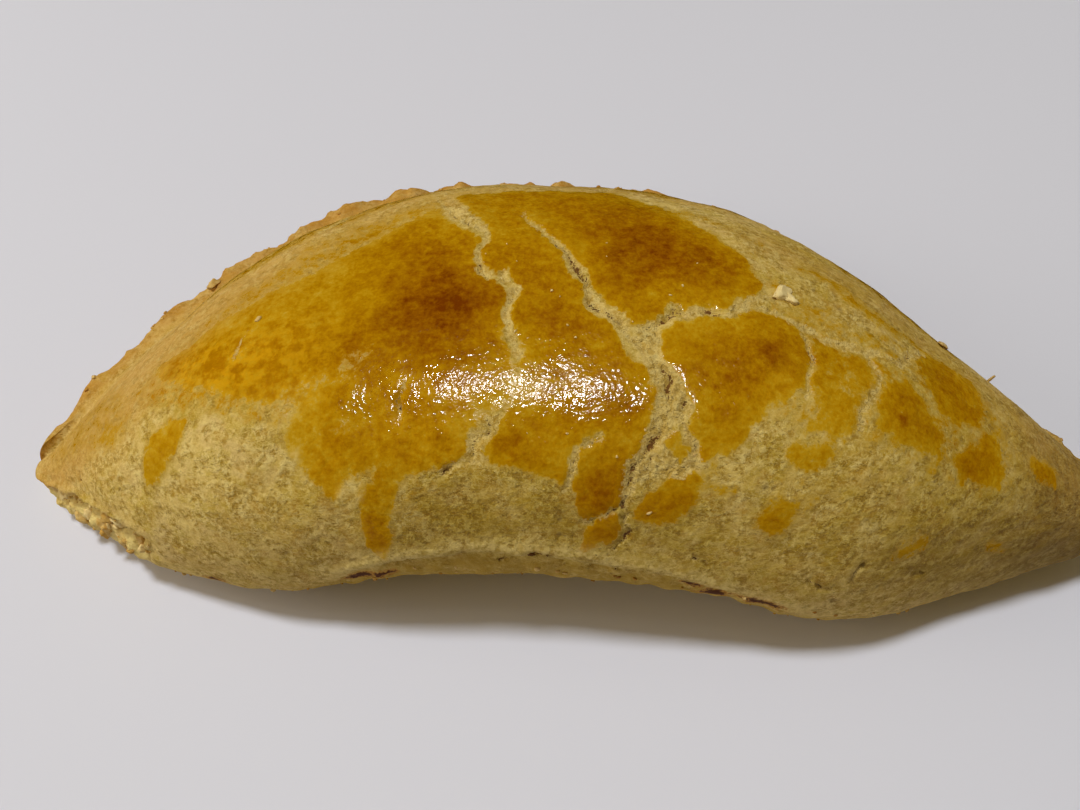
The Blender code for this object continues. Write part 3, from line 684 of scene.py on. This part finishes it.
def colour_fields(crust):
    """Shares that the material reads at each point; the cracks' distances in millimetres."""
    band, fissure = crack_fields(crust)
    band = band + crust.rough(SPLIT_EDGE)
    fissure = fissure + crust.rough(FISSURE_EDGE) - 0.13 * MM
    wash, heart = wash_fields(crust, band)
    edge = crust.below(FRONT_FOLD) + crust.rough(UNDERSIDE_COLOUR_EDGE)
    torn = crust.below(TEAR)
    torn = smoothstep(0, 1 * MM, torn) * smoothstep(9 * MM, 5 * MM, torn)
    seal = seal_share(crust, 5.5) ** 0.8 * (1 - 0.55 * smoothstep(38, 56, crust.x / MM))
    lip = crust.between(-20, 24, 8) * bell(edge + 1.0 * MM, 0.9 * MM)
    return {
        "wash": wash,
        "heart": heart,
        "brown_and_painted_light": sum(crust.spot(*spot) for spot in BROWNED_AND_PAINTED_LIGHT),
        "band": np.clip(band / MM, -4, 4),
        "fissure": np.clip(fissure / MM, -4, 4),
        "scorch": np.maximum.reduce([crust.spot(*spot) for spot in SCORCHED]),
        "stain_and_shade": crust.spots(STAINED_AND_SHADED),
        "baked_and_shade": crust.spots(BAKED_AND_SHADED, 0.95),
        "amber": crust.spots(AMBER),
        "toast": crust.spots(TOASTED),
        "pores": crust.pits(PORES),
        "clusters": crust.pits(PORE_CLUSTERS),
        "under": smoothstep(0, 3 * MM, edge),
        "torn": crust.between(TEAR_FROM, TEAR_TO, 2) * torn,
        "seal": seal,
        "lip": np.maximum(lip, blister_rims(crust)),
    }


def anchor_shift():
    """From the form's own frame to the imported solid's, by the left tip's outermost point."""
    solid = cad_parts["meat_pie"].data.vertices
    tip = min((v.co for v in solid), key=lambda co: co.x)
    return np.array(tip) - crust_grid(3, 8)[0][0, 0]


# ---- materials ------------------------------------------------------------------------------
class Nodes:
    """Short ways to wire a material's nodes."""

    def __init__(self, name):
        self.material = bpy.data.materials.new(name)
        self.material.use_nodes = True
        self.tree = self.material.node_tree
        self.shader = self.tree.nodes["Principled BSDF"]
        self.place = self.tree.nodes.new("ShaderNodeTexCoord").outputs["Object"]

    def fill(self, node, inputs):
        """Links or sets a node's inputs."""
        for name, value in inputs.items():
            if isinstance(value, bpy.types.NodeSocket):
                self.tree.links.new(value, node.inputs[name])
            else:
                node.inputs[name].default_value = value

    def node(self, kind, inputs, **settings):
        """A new node with these settings and inputs."""
        node = self.tree.nodes.new("ShaderNode" + kind)
        for name, value in settings.items():
            setattr(node, name, value)
        self.fill(node, inputs)
        return node

    def surface(self, colour, roughness, specular):
        self.fill(self.shader, {"Base Color": colour, "Roughness": roughness, "Specular IOR Level": specular})

    def field(self, name):
        return self.node("Attribute", {}, attribute_name=name).outputs["Fac"]

    def noise(self, size, detail=2, roughness=0.5, stretch=(1, 1, 1), shift=0):
        """Noise between about 0.2 and 0.8 with features about this big, in metres."""
        mapping = self.node("Mapping", {"Vector": self.place, "Location": (shift,) * 3, "Scale": stretch})
        inputs = {"Vector": mapping.outputs["Vector"], "Scale": 1 / size, "Detail": detail,
                  "Roughness": roughness}
        return self.node("TexNoise", inputs).outputs["Fac"]

    def wisps(self, size, width, stretch=(1, 1, 1), shift=0):
        """Thin wavy threads along the middle level of a noise, 1 on each and 0 off it."""
        away = self.math("ABSOLUTE", self.math("SUBTRACT", self.noise(size, 2, 0.6, stretch, shift), 0.5))
        return self.span(away, width, 0)

    def math(self, operation, a, b=0, clamp=False):
        return self.node("Math", {0: a, 1: b}, operation=operation, use_clamp=clamp).outputs[0]

    def plus(self, *values):
        total = values[0]
        for value in values[1:]:
            total = self.math("ADD", total, value)
        return total

    def times(self, *values):
        product = values[0]
        for value in values[1:]:
            product = self.math("MULTIPLY", product, value)
        return product

    def sway(self, value, amount):
        """A noise turned to swing about zero by this amount."""
        return self.times(self.math("SUBTRACT", value, 0.5), amount)

    def span(self, value, low, high, to_low=0, to_high=1):
        """Value from low..high to to_low..to_high, smoothly and kept inside."""
        inputs = {"Value": value, "From Min": low, "From Max": high, "To Min": to_low, "To Max": to_high}
        return self.node("MapRange", inputs, interpolation_type="SMOOTHSTEP").outputs["Result"]

    def mix(self, share, a, b, kind="MIX"):
        """Colours a to b by share, or a tinted by b where the kind is MULTIPLY."""
        a, b = ((*colour, 1) if isinstance(colour, tuple) else colour for colour in (a, b))
        return self.node("Mix", {0: share, 6: a, 7: b}, data_type="RGBA", blend_type=kind).outputs[2]

    def coats(self, colour, *coats):
        """A colour with each (share, colour) laid over it in turn."""
        for share, coat in coats:
            colour = self.mix(share, colour, coat)
        return colour

    def blend(self, share, a, b):
        """Numbers a to b by share."""
        return self.node("Mix", {0: share, 2: a, 3: b}).outputs[0]

    def ramp(self, value, *stops):
        """A colour ramp through (place, colour) stops."""
        node = self.node("ValToRGB", {"Fac": value})
        elements = node.color_ramp.elements
        while len(elements) < len(stops):
            elements.new(1)
        for element, (at, colour) in zip(elements, stops):
            element.position = at
            element.color = (*colour, 1)
        return node.outputs["Color"]

    def bump(self, height, distance, strength=1, under=None):
        """A bumped normal, on top of another one where that is given."""
        inputs = {"Height": height, "Distance": distance, "Strength": strength}
        if under is not None:
            inputs["Normal"] = under
        return self.node("Bump", inputs).outputs["Normal"]


PALE_DOUGH = (0.70, 0.49, 0.132)
TAN_DOUGH = (0.58, 0.372, 0.072)
YELLOW_DOUGH = (0.56, 0.38, 0.050)
ROSY_DOUGH = (0.67, 0.46, 0.165)
# Pale flecks and threads, and painted light on crests and in the torn hollow.
PALE_FLECK_AND_PAINTED_LIGHT = (0.82, 0.63, 0.215)
OCHRE = (0.47, 0.255, 0.018)
# Dark flecks, and painted shade in the hollows of the grain.
DARK_FLECK_AND_SHADE = (0.41, 0.24, 0.030)
# Painted shade in the hollows of the dough's grain.
PIT_SHADE = (0.37, 0.215, 0.013)
# Painted shade inside the pores.
PORE_SHADE = (0.20, 0.115, 0.022)
SPLIT_DOUGH = (0.76, 0.55, 0.165)
# Painted shade in the fissures' gaps.
FISSURE_SHADE = (0.20, 0.082, 0.012)
SEAL_BROWN = (0.52, 0.225, 0.022)
UNDER_BROWN = (0.47, 0.285, 0.022)
SCORCH_BROWN = (0.13, 0.038, 0.006)
STAIN_AND_SHADE_COLOUR = (0.49, 0.315, 0.014)
# Painted shade as well as stains: this tint darkens the dough along the front.
STAIN_AND_SHADE_TINT = (0.84, 0.79, 0.46)
# Painted shade as well as browning: this tint darkens the right tip and the front.
BAKED_AND_SHADE_TINT = (0.52, 0.46, 0.34)
AMBER_WASH = (0.72, 0.36, 0.006)
BURNT_WASH = (0.43, 0.155, 0.001)
TOAST = (0.56, 0.30, 0.050)
# The wash by how thick and browned it is, from its yellow margins to the darkest patches.
WASH_TONES = ((0.0, (0.60, 0.385, 0.045)), (0.18, (0.56, 0.315, 0.009)), (0.36, (0.49, 0.240, 0.0015)),
              (0.54, (0.40, 0.170, 0.0008)), (0.74, (0.30, 0.100, 0.0005)), (1.0, (0.18, 0.038, 0.0004)))
# Crumbs from pale inside to burnt outside.
CRUMB_TONES = ((0.0, (0.84, 0.66, 0.29)), (0.45, (0.58, 0.34, 0.07)), (0.8, (0.48, 0.21, 0.02)),
               (1.0, (0.20, 0.07, 0.008)))


class CrustNodes(Nodes):
    """The crust's material, with the noises and shares that its colours and bumps have in common."""

    def __init__(self):
        super().__init__("baked_crust")
        self.broad = self.noise(8 * MM, 3)
        self.patchy = self.noise(2.8 * MM, 4, 0.6, stretch=(0.75, 1, 1))
        self.mottle = self.noise(1.3 * MM, 3, 0.6, shift=7.7)
        self.fine = self.noise(0.6 * MM, 3, 0.6)
        self.grain = self.noise(0.28 * MM, 2, 0.6)
        self.crumbly = self.noise(0.75 * MM, 5, 0.72, shift=22.2)
        self.pitted = self.span(self.noise(1.7 * MM, 2, shift=4.4), 0.40, 0.60, 0.25, 1)
        self.lies = self.span(self.frayed("wash", mottle=1, fine=0.6, grain=0.3), 0.24, 0.70)
        self.split = self.span(self.frayed("band", fine=1.4, grain=0.7), -0.20, 0.25)

    def frayed(self, field, **amounts):
        """A field with its edges broken up by these amounts of the named noises."""
        noises = [self.sway(getattr(self, name), amount) for name, amount in amounts.items()]
        return self.plus(self.field(field), *noises)

    def patches(self, field, value, low, high, least, most=1):
        """A field in patches, from its least share where the noise is low to its most where it is high."""
        return self.times(self.field(field), self.span(value, low, high, least, most))


def dough_colour(n):
    """Baked dough where no wash lies: beige and tan, stained, flecked light and dark; painted shade on the
    front, the right tip and the hollows of its fine relief, painted light on the crests.
    """
    film = n.span(n.frayed("wash", patchy=0.8, fine=0.6), 0.02, 0.50)
    stain_and_shade = n.math("MAXIMUM", n.times(film, 0.6), n.patches("stain_and_shade", n.patchy, 0.34, 0.60, 0.4))
    wisps = n.wisps(0.85 * MM, 0.035, stretch=(0.6, 1, 1), shift=3.1)
    threads = n.wisps(0.5 * MM, 0.04, shift=12.6)
    colour = n.coats(
        PALE_DOUGH,
        (n.span(n.broad, 0.38, 0.62), TAN_DOUGH),
        (n.span(n.noise(5 * MM, 2, shift=17.3), 0.50, 0.64, 0, 0.6), ROSY_DOUGH),
        (n.span(n.patchy, 0.49, 0.60, 0, 0.7), YELLOW_DOUGH),
        (n.span(n.noise(3.2 * MM, 3, 0.6, shift=31.2), 0.53, 0.63, 0, 0.55), STAIN_AND_SHADE_COLOUR),
        (n.times(stain_and_shade, 0.75), STAIN_AND_SHADE_COLOUR),
        (n.span(n.noise(1.9 * MM, 3, 0.6, shift=41.7), 0.54, 0.64, 0, 0.65), OCHRE),
        (n.patches("toast", n.mottle, 0.34, 0.62, 0.5, 0.9), TOAST),
        # Painted shade in the hollows and painted light on the crests of the fine relief that the bumps raise
        # from these same noises.
        (n.times(n.span(n.crumbly, 0.50, 0.41, 0, 0.95), n.pitted), PIT_SHADE),
        (n.times(n.span(n.crumbly, 0.51, 0.58, 0, 0.90), n.pitted), PALE_FLECK_AND_PAINTED_LIGHT),
        (n.times(n.span(n.fine, 0.50, 0.34, 0, 0.50), n.pitted), DARK_FLECK_AND_SHADE),
        (n.times(n.span(n.grain, 0.48, 0.34, 0, 0.40), n.pitted), DARK_FLECK_AND_SHADE),
        (n.span(n.fine, 0.54, 0.68, 0, 0.45), PALE_FLECK_AND_PAINTED_LIGHT),
        (n.times(wisps, 0.45), PALE_FLECK_AND_PAINTED_LIGHT),
        (n.times(threads, 0.30), PALE_FLECK_AND_PAINTED_LIGHT))
    # Stains tint the dough, and along the front this tint is painted shade.
    colour = n.mix(stain_and_shade, colour, STAIN_AND_SHADE_TINT, "MULTIPLY")
    # The oven darkens the dough, and at the right tip and along the front this tint is painted shade.
    return n.mix(n.patches("baked_and_shade", n.mottle, 0.34, 0.60, 0.7), colour, BAKED_AND_SHADE_TINT, "MULTIPLY")


def wash_over(n, dough):
    """Egg wash laid over the dough, by how thick and browned it is, paler on the left as painted light, amber
    and burnt in places.
    """
    thick = n.plus(n.times(n.field("wash"), 0.34), n.times(n.field("heart"), 0.15),
                   n.times(n.field("brown_and_painted_light"), 0.46), n.sway(n.broad, 0.30), n.sway(n.patchy, 0.55),
                   n.sway(n.mottle, 0.60), n.sway(n.fine, 0.60), n.sway(n.grain, 0.28))
    burnt = n.span(n.plus(n.times(n.mottle, 0.6), n.times(n.patchy, 0.4)), 0.43, 0.57)
    spread = n.times(n.field("amber"), n.span(thick, 0.60, 0.40), n.span(n.fine, 0.35, 0.62, 0.35, 0.85))
    toast = n.times(n.field("toast"), n.span(thick, 0.42, 0.16, 0, 0.6), n.span(n.fine, 0.35, 0.6, 0.4, 1))
    washed = n.mix(spread, n.ramp(thick, *WASH_TONES), n.mix(burnt, AMBER_WASH, BURNT_WASH))
    return n.coats(dough, (n.lies, washed), (toast, TOAST))


def crack_crumb(n):
    """The torn pale dough inside the cracks."""
    return n.coats(
        TAN_DOUGH,
        (n.span(n.fine, 0.42, 0.56), SPLIT_DOUGH),
        (n.span(n.grain, 0.45, 0.32, 0, 0.40), DARK_FLECK_AND_SHADE),
        (n.span(n.mottle, 0.56, 0.66, 0, 0.7), PALE_FLECK_AND_PAINTED_LIGHT))


def open_pores(n):
    """Fine pores, thickest in their clusters and thinnest under the wash, and the single big ones, as the
    share of painted shade in them.
    """
    crowd = n.plus(n.times(n.field("clusters"), 0.055), n.times(n.split, 0.02))
    dots = n.span(n.plus(n.noise(0.42 * MM, 1, 0.5, shift=9.4), crowd), 0.72, 0.82)
    bare = n.math("SUBTRACT", 1, n.lies)
    dots = n.times(dots, n.plus(0.25, n.times(bare, 0.75)))
    return n.math("MAXIMUM", dots, n.span(n.field("pores"), 0.30, 0.80), clamp=True)


def crust_colour(n):
    """From the dough up: the wash, the browned edges, the cracks, the pores and the scorched spots; the
    fissures and pores hold painted shade, the torn hollow painted light.
    """
    gap = n.span(n.frayed("fissure", fine=1.3, grain=1), 0.05, 0.17)
    charred = n.frayed("scorch", fine=1.3, mottle=0.9, grain=0.8)
    near = n.span(n.field("scorch"), 0.05, 0.25)
    return n.coats(
        wash_over(n, dough_colour(n)),
        (n.patches("lip", n.fine, 0.36, 0.60, 0.15, 0.75), PALE_FLECK_AND_PAINTED_LIGHT),
        (n.times(n.patches("seal", n.patchy, 0.36, 0.60, 0.6), 0.95), SEAL_BROWN),
        (n.patches("under", n.mottle, 0.30, 0.62, 0.35), UNDER_BROWN),
        # Torn dough is pale, and made lighter still as painted light against the hollow's shade.
        (n.patches("torn", n.mottle, 0.40, 0.54, 0.35), PALE_FLECK_AND_PAINTED_LIGHT),
        (n.times(n.split, 0.92), crack_crumb(n)),
        # Painted shade in the fissures' gaps.
        (gap, FISSURE_SHADE),
        # Painted shade inside the pores.
        (n.times(open_pores(n), 0.55), PORE_SHADE),
        (n.times(near, n.span(charred, 0.1, 0.4, 0, 0.8)), SEAL_BROWN),
        (n.times(near, n.span(charred, 0.38, 0.66)), SCORCH_BROWN))


def crust_bumps(n, gloss):
    """Pits and swellings of the dough, crumb in the cracks, and fine ripples in the glossy wash."""
    rough = n.plus(n.times(n.fine, 0.7), n.times(n.grain, 0.5), n.times(n.crumbly, 1.1))
    normal = n.bump(rough, 0.24 * MM, n.blend(gloss, n.plus(n.times(n.pitted, 0.7), 0.3), 0.06))
    swollen = n.plus(n.mottle, n.times(n.patchy, 1.6), n.times(n.broad, 3))
    normal = n.bump(swollen, 0.26 * MM, n.blend(gloss, 0.8, 0.1), normal)
    torn_up = n.plus(n.noise(0.9 * MM, 4, 0.7, shift=14.1), n.times(n.grain, 0.2))
    normal = n.bump(torn_up, 0.50 * MM, n.split, normal)
    ripple = n.plus(n.times(n.noise(0.45 * MM, 1, 0.6, shift=2.2), 0.47),
                    n.times(n.noise(1.5 * MM, 1, 0.5, shift=6.1), 0.75))
    return n.bump(ripple, 0.16 * MM, gloss, normal)


def crust_material():
    """Matte pitted dough, with the glossy, browned egg wash where it was brushed on."""
    n = CrustNodes()
    glaze = n.span(n.noise(3.4 * MM, 3, 0.6, shift=8.8), 0.44, 0.60, 0.09, 0.15)
    gloss = n.times(n.lies, n.math("SUBTRACT", 1, n.times(n.split, 0.7)))
    n.surface(crust_colour(n), n.blend(gloss, 0.85, glaze), 0.4)
    n.fill(n.shader, {"Normal": crust_bumps(n, gloss)})
    return n.material


def crumb_material():
    """Loose and half-loose crumbs of shortcrust, each browned its own amount."""
    n = Nodes("crust_crumb")
    fine = n.noise(0.5 * MM, 3, 0.6)
    tone = n.math("ADD", n.field("tone"), n.sway(fine, 0.5), clamp=True)
    n.surface(n.ramp(tone, *CRUMB_TONES), n.span(fine, 0.3, 0.7, 0.62, 0.85), 0.3)
    n.fill(n.shader, {"Normal": n.bump(fine, 0.12 * MM, 0.7)})
    return n.material


def floor_material():
    n = Nodes("pale_floor")
    n.surface((0.74, 0.74, 0.81, 1), 0.6, 0.3)
    return n.material


# ---- pieces ---------------------------------------------------------------------------------
def add_object(name, data):
    new = bpy.data.objects.new(name, data)
    bpy.context.scene.collection.objects.link(new)
    return new


def add_piece(name, mesh, material):
    """A new piece of the pie, which moves with its one body."""
    mesh.shade_smooth()
    mesh.materials.append(material)
    piece = add_object(name, mesh)
    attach(piece, "root")
    return piece


def make_crust():
    """The fine crust; returns its points, for what lies on it."""
    mesh = plain_mesh()
    refine_cracks(mesh)
    crust = Crust(mesh)
    fields = colour_fields(crust)
    crust.placed = crust.points + crust.normals * relief(crust, fields)[:, None] + anchor_shift()
    crust.placed[:, 2] = np.maximum(crust.placed[:, 2], 0)
    for name in ("over", "full", "row", "outward"):
        mesh.attributes.remove(mesh.attributes[name])
    mesh.vertices.foreach_set("co", crust.placed.ravel())
    for name, values in fields.items():
        add_layer(mesh, name, values)
    mesh.update()
    piece = add_piece("crust", mesh, crust_material())
    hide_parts("meat_pie")
    return crust


def surface_at(crust, x, over):
    """Place and normal of the crust at x (mm) and a way over it."""
    away = (crust.x - x * MM) ** 2 + (crust.way - over * crust.full) ** 2
    spot = int(np.argmin(away))
    return Vector(crust.placed[spot]), Vector(crust.normals[spot])


def crumb_shape(rng, size, stretch, fineness):
    """A broken lump of crust about this big, longer or flatter by its stretch."""
    bm = bmesh.new()
    bmesh.ops.create_icosphere(bm, subdivisions=fineness, radius=size / 2)
    offset = Vector((rng.random(), rng.random(), rng.random())) * NOISE_SPREAD
    turn = Matrix.Rotation(rng.uniform(0, 2 * math.pi), 3, "Z")
    breaks = []
    for _ in range(CRUMB_BREAKS):
        across = Vector((rng.gauss(0, 1), rng.gauss(0, 1), rng.gauss(0, 1))).normalized()
        breaks.append((across, size * rng.uniform(0.24, 0.42)))
    for v in bm.verts:
        for across, reach in breaks:
            v.co -= across * max(v.co.dot(across) - reach, 0) * 0.9
        away = v.co / size
        bulge = 1.1 + 0.55 * noise.noise(away * 2 + offset) + 0.35 * noise.noise(away * 5 + offset)
        v.co = turn @ Vector(a * b for a, b in zip(v.co * bulge, stretch))
    return bm


# Beds of small crumbs: x from and to (mm), way over from and to, how many, size from and to (mm),
# tone from and to, pale to burnt.
CRUMB_BEDS = (
    (-62, 62, 1.1, 1.26, 110, 0.35, 0.9, 0.25, 0.8), (-62.5, -57, 0.18, 0.26, 9, 0.5, 1.2, 0.05, 0.3),
    (-53.5, -46, 0.08, 0.2, 14, 0.6, 1.5, 0.1, 0.55), (-62, -45, 0.04, 0.24, 50, 0.25, 0.55, 0.1, 0.6),
    (-45, 40, -0.02, 0.07, 60, 0.3, 0.7, 0.2, 0.9), (-9, 14, 0.25, 0.6, 24, 0.2, 0.4, 0, 0.3),
)
# Single lumps and chips: x (mm), way over, length, width and height (mm), tone.
CHIPS = (
    (22.2, 0.562, 2.4, 1.7, 1, 0), (23.4, 0.553, 1.7, 1.2, 0.8, 0), (22, 0.551, 1.2, 1, 0.6, 0),
    (-47.6, 1.09, 2.3, 1.6, 0.9, 0.35), (-39.6, 1.07, 1.4, 1, 1, 0.6), (-32.6, 0.565, 0.9, 0.7, 0.3, 0.3),
    (47.6, 0.717, 0.35, 0.3, 1.7, 0.3), (-51.8, 0.19, 2, 1.5, 1.4, 0.45),
    (-49.9, 0.19, 2.4, 1.7, 1.5, 0.08), (-60.8, 0.2, 2.2, 1.7, 1.3, 0.12), (-55.4, 0.16, 1.5, 1.1, 1, 0.1),
    (-53, 0.12, 2.3, 1.5, 1.3, 0.35), (-49.5, 0.1, 1.9, 1.3, 1.1, 0.3), (-62, 0.25, 1.7, 1.2, 1, 0.2),
    (43, 0.74, 2.6, 1.6, 0.5, 0.3), (9, 0.204, 0.6, 0.28, 0.2, 0.15), (-57.5, 0.1, 1.8, 1.4, 1, 0.3),
)
# How much of its height a crumb's middle stands over the crust, and the lowest any point comes.
CRUMB_LIFT = 0.15
LOWEST_CRUMB = 0.05 * MM
# Flat breaks on a crumb, and how far apart the crumbs draw their noise.
CRUMB_BREAKS = 9
NOISE_SPREAD = 40
CRUMB_SEED = 11


def bedded_crumbs(rng):
    """Crumbs drawn for the beds, as the single ones are written."""
    spots = []
    for x0, x1, w0, w1, count, s0, s1, t0, t1 in CRUMB_BEDS:
        for _ in range(count):
            size = rng.uniform(s0, s1) * rng.uniform(0.6, 1)
            sizes = [size * rng.uniform(low, high) for low, high in ((0.8, 1.35), (0.7, 1.1), (0.5, 0.8))]
            spots.append((rng.uniform(x0, x1), rng.uniform(w0, w1), *sizes, rng.uniform(t0, t1)))
    return spots


def make_crumbs(crust):
    """Crumbs along the seal, the torn tip and the lower edges, set a little into the crust."""
    rng = random.Random(CRUMB_SEED)
    vertices, faces, tones = [], [], []
    for x, over, length, width, height, tone in bedded_crumbs(rng) + list(CHIPS):
        place, normal = surface_at(crust, x, over)
        bm = crumb_shape(rng, MM, (length, width, height), 3 if length > 1 else 2)
        turn = normal.to_track_quat("Z", "Y").to_matrix()
        base = len(vertices)
        for v in bm.verts:
            co = turn @ v.co + place + normal * height * CRUMB_LIFT * MM
            vertices.append((co.x, co.y, max(co.z, LOWEST_CRUMB)))
        faces += [tuple(base + v.index for v in f.verts) for f in bm.faces]
        tones += [tone] * len(bm.verts)
        bm.free()
    mesh = bpy.data.meshes.new("crumbs")
    mesh.from_pydata(vertices, [], faces)
    add_layer(mesh, "tone", np.array(tones))
    add_piece("crumbs", mesh, crumb_material())


# ---- stage ----------------------------------------------------------------------------------
# The camera: how far round and up it stands, its distance in metres, its lens and sensor in mm.
AZIMUTH = math.radians(2.83)
ELEVATION = math.radians(55)
DISTANCE = 0.1134
LENS = 27.03
SENSOR = 36
NEAREST = 0.005
MIDDLE = Vector(((LOW.x + HIGH.x) / 2, (LOW.y + HIGH.y) / 2, LOW.z))
AIM = MIDDLE + Vector((-0.0029, -0.0008, 0))
# Where the light comes from: one lamp for the matte surface, one for the gleam on the wash, and a
# soft one from the left.
KEY_FROM = Vector((-0.149, 0.120, 0.982))
GLEAM_FROM = Vector((-0.17, -0.04, 0.985))
FILL_FROM = Vector((-0.92, -0.12, 0.37))
FILL_DISTANCE = 0.5
FLOOR_REACH = 2
ROOM_COLOUR = (1, 0.76, 0.36, 1)
ROOM_STRENGTH = 0.165
WALL_COLOUR = (0.60, 0.59, 0.60, 1)


def turn_towards(thing, direction):
    """Turns a lamp's or camera's back to this direction."""
    thing.rotation_euler = direction.to_track_quat("Z", "Y").to_euler()


def add_lamp(name, kind, direction, energy, colour, **settings):
    """A lamp that shines from this direction."""
    data = bpy.data.lights.new(name, kind)
    data.energy = energy
    data.color = colour
    for setting, value in settings.items():
        setattr(data, setting, value)
    lamp = add_object(name, data)
    turn_towards(lamp, direction)
    return lamp


def make_floor():
    mesh = bpy.data.meshes.new("floor")
    corners = [(x * FLOOR_REACH, y * FLOOR_REACH, 0) for x, y in ((-1, -1), (1, -1), (1, 1), (-1, 1))]
    mesh.from_pydata(corners, [], [(0, 1, 2, 3)])
    mesh.materials.append(floor_material())
    floor = add_object("floor", mesh)
    floor.visible_glossy = False


def make_lamps():
    key = add_lamp("key", "SUN", KEY_FROM, 1.92, (0.92, 0.96, 1.0), angle=math.radians(8.8))
    key.visible_glossy = False
    gleam = add_lamp("gleam", "SUN", GLEAM_FROM, 1.4, (0.98, 0.98, 0.96), angle=math.radians(6.5))
    gleam.visible_diffuse = False
    fill = add_lamp("left_fill", "AREA", FILL_FROM, 0.85, (1.0, 0.94, 0.86), shape="DISK", size=0.35)
    fill.location = MIDDLE + FILL_FROM.normalized() * FILL_DISTANCE
    fill.visible_glossy = False


def make_room():
    """Warm light from all round, behind a plain pale wall that only the camera sees."""
    world = bpy.data.worlds.new("studio")
    world.use_nodes = True
    world.cycles_visibility.glossy = False
    tree = world.node_tree
    room = tree.nodes["Background"]
    room.inputs["Color"].default_value = ROOM_COLOUR
    room.inputs["Strength"].default_value = ROOM_STRENGTH
    wall = tree.nodes.new("ShaderNodeBackground")
    wall.inputs["Color"].default_value = WALL_COLOUR
    choice = tree.nodes.new("ShaderNodeMixShader")
    tree.links.new(tree.nodes.new("ShaderNodeLightPath").outputs["Is Camera Ray"], choice.inputs[0])
    tree.links.new(room.outputs[0], choice.inputs[1])
    tree.links.new(wall.outputs[0], choice.inputs[2])
    tree.links.new(choice.outputs[0], tree.nodes["World Output"].inputs["Surface"])
    bpy.context.scene.world = world
    bpy.context.scene.view_settings.view_transform = "Standard"


def make_camera():
    """The view from a hand's breadth away, a little over the folded side."""
    back = Vector((math.sin(AZIMUTH) * math.cos(ELEVATION), -math.cos(AZIMUTH) * math.cos(ELEVATION),
                   math.sin(ELEVATION)))
    data = bpy.data.cameras.new("camera")
    data.lens = LENS
    data.sensor_width = SENSOR
    data.clip_start = NEAREST
    camera = add_object("camera", data)
    camera.location = AIM + back * DISTANCE
    turn_towards(camera, back)
    bpy.context.scene.camera = camera


make_camera()
make_floor()
make_lamps()
make_room()
make_crumbs(make_crust())
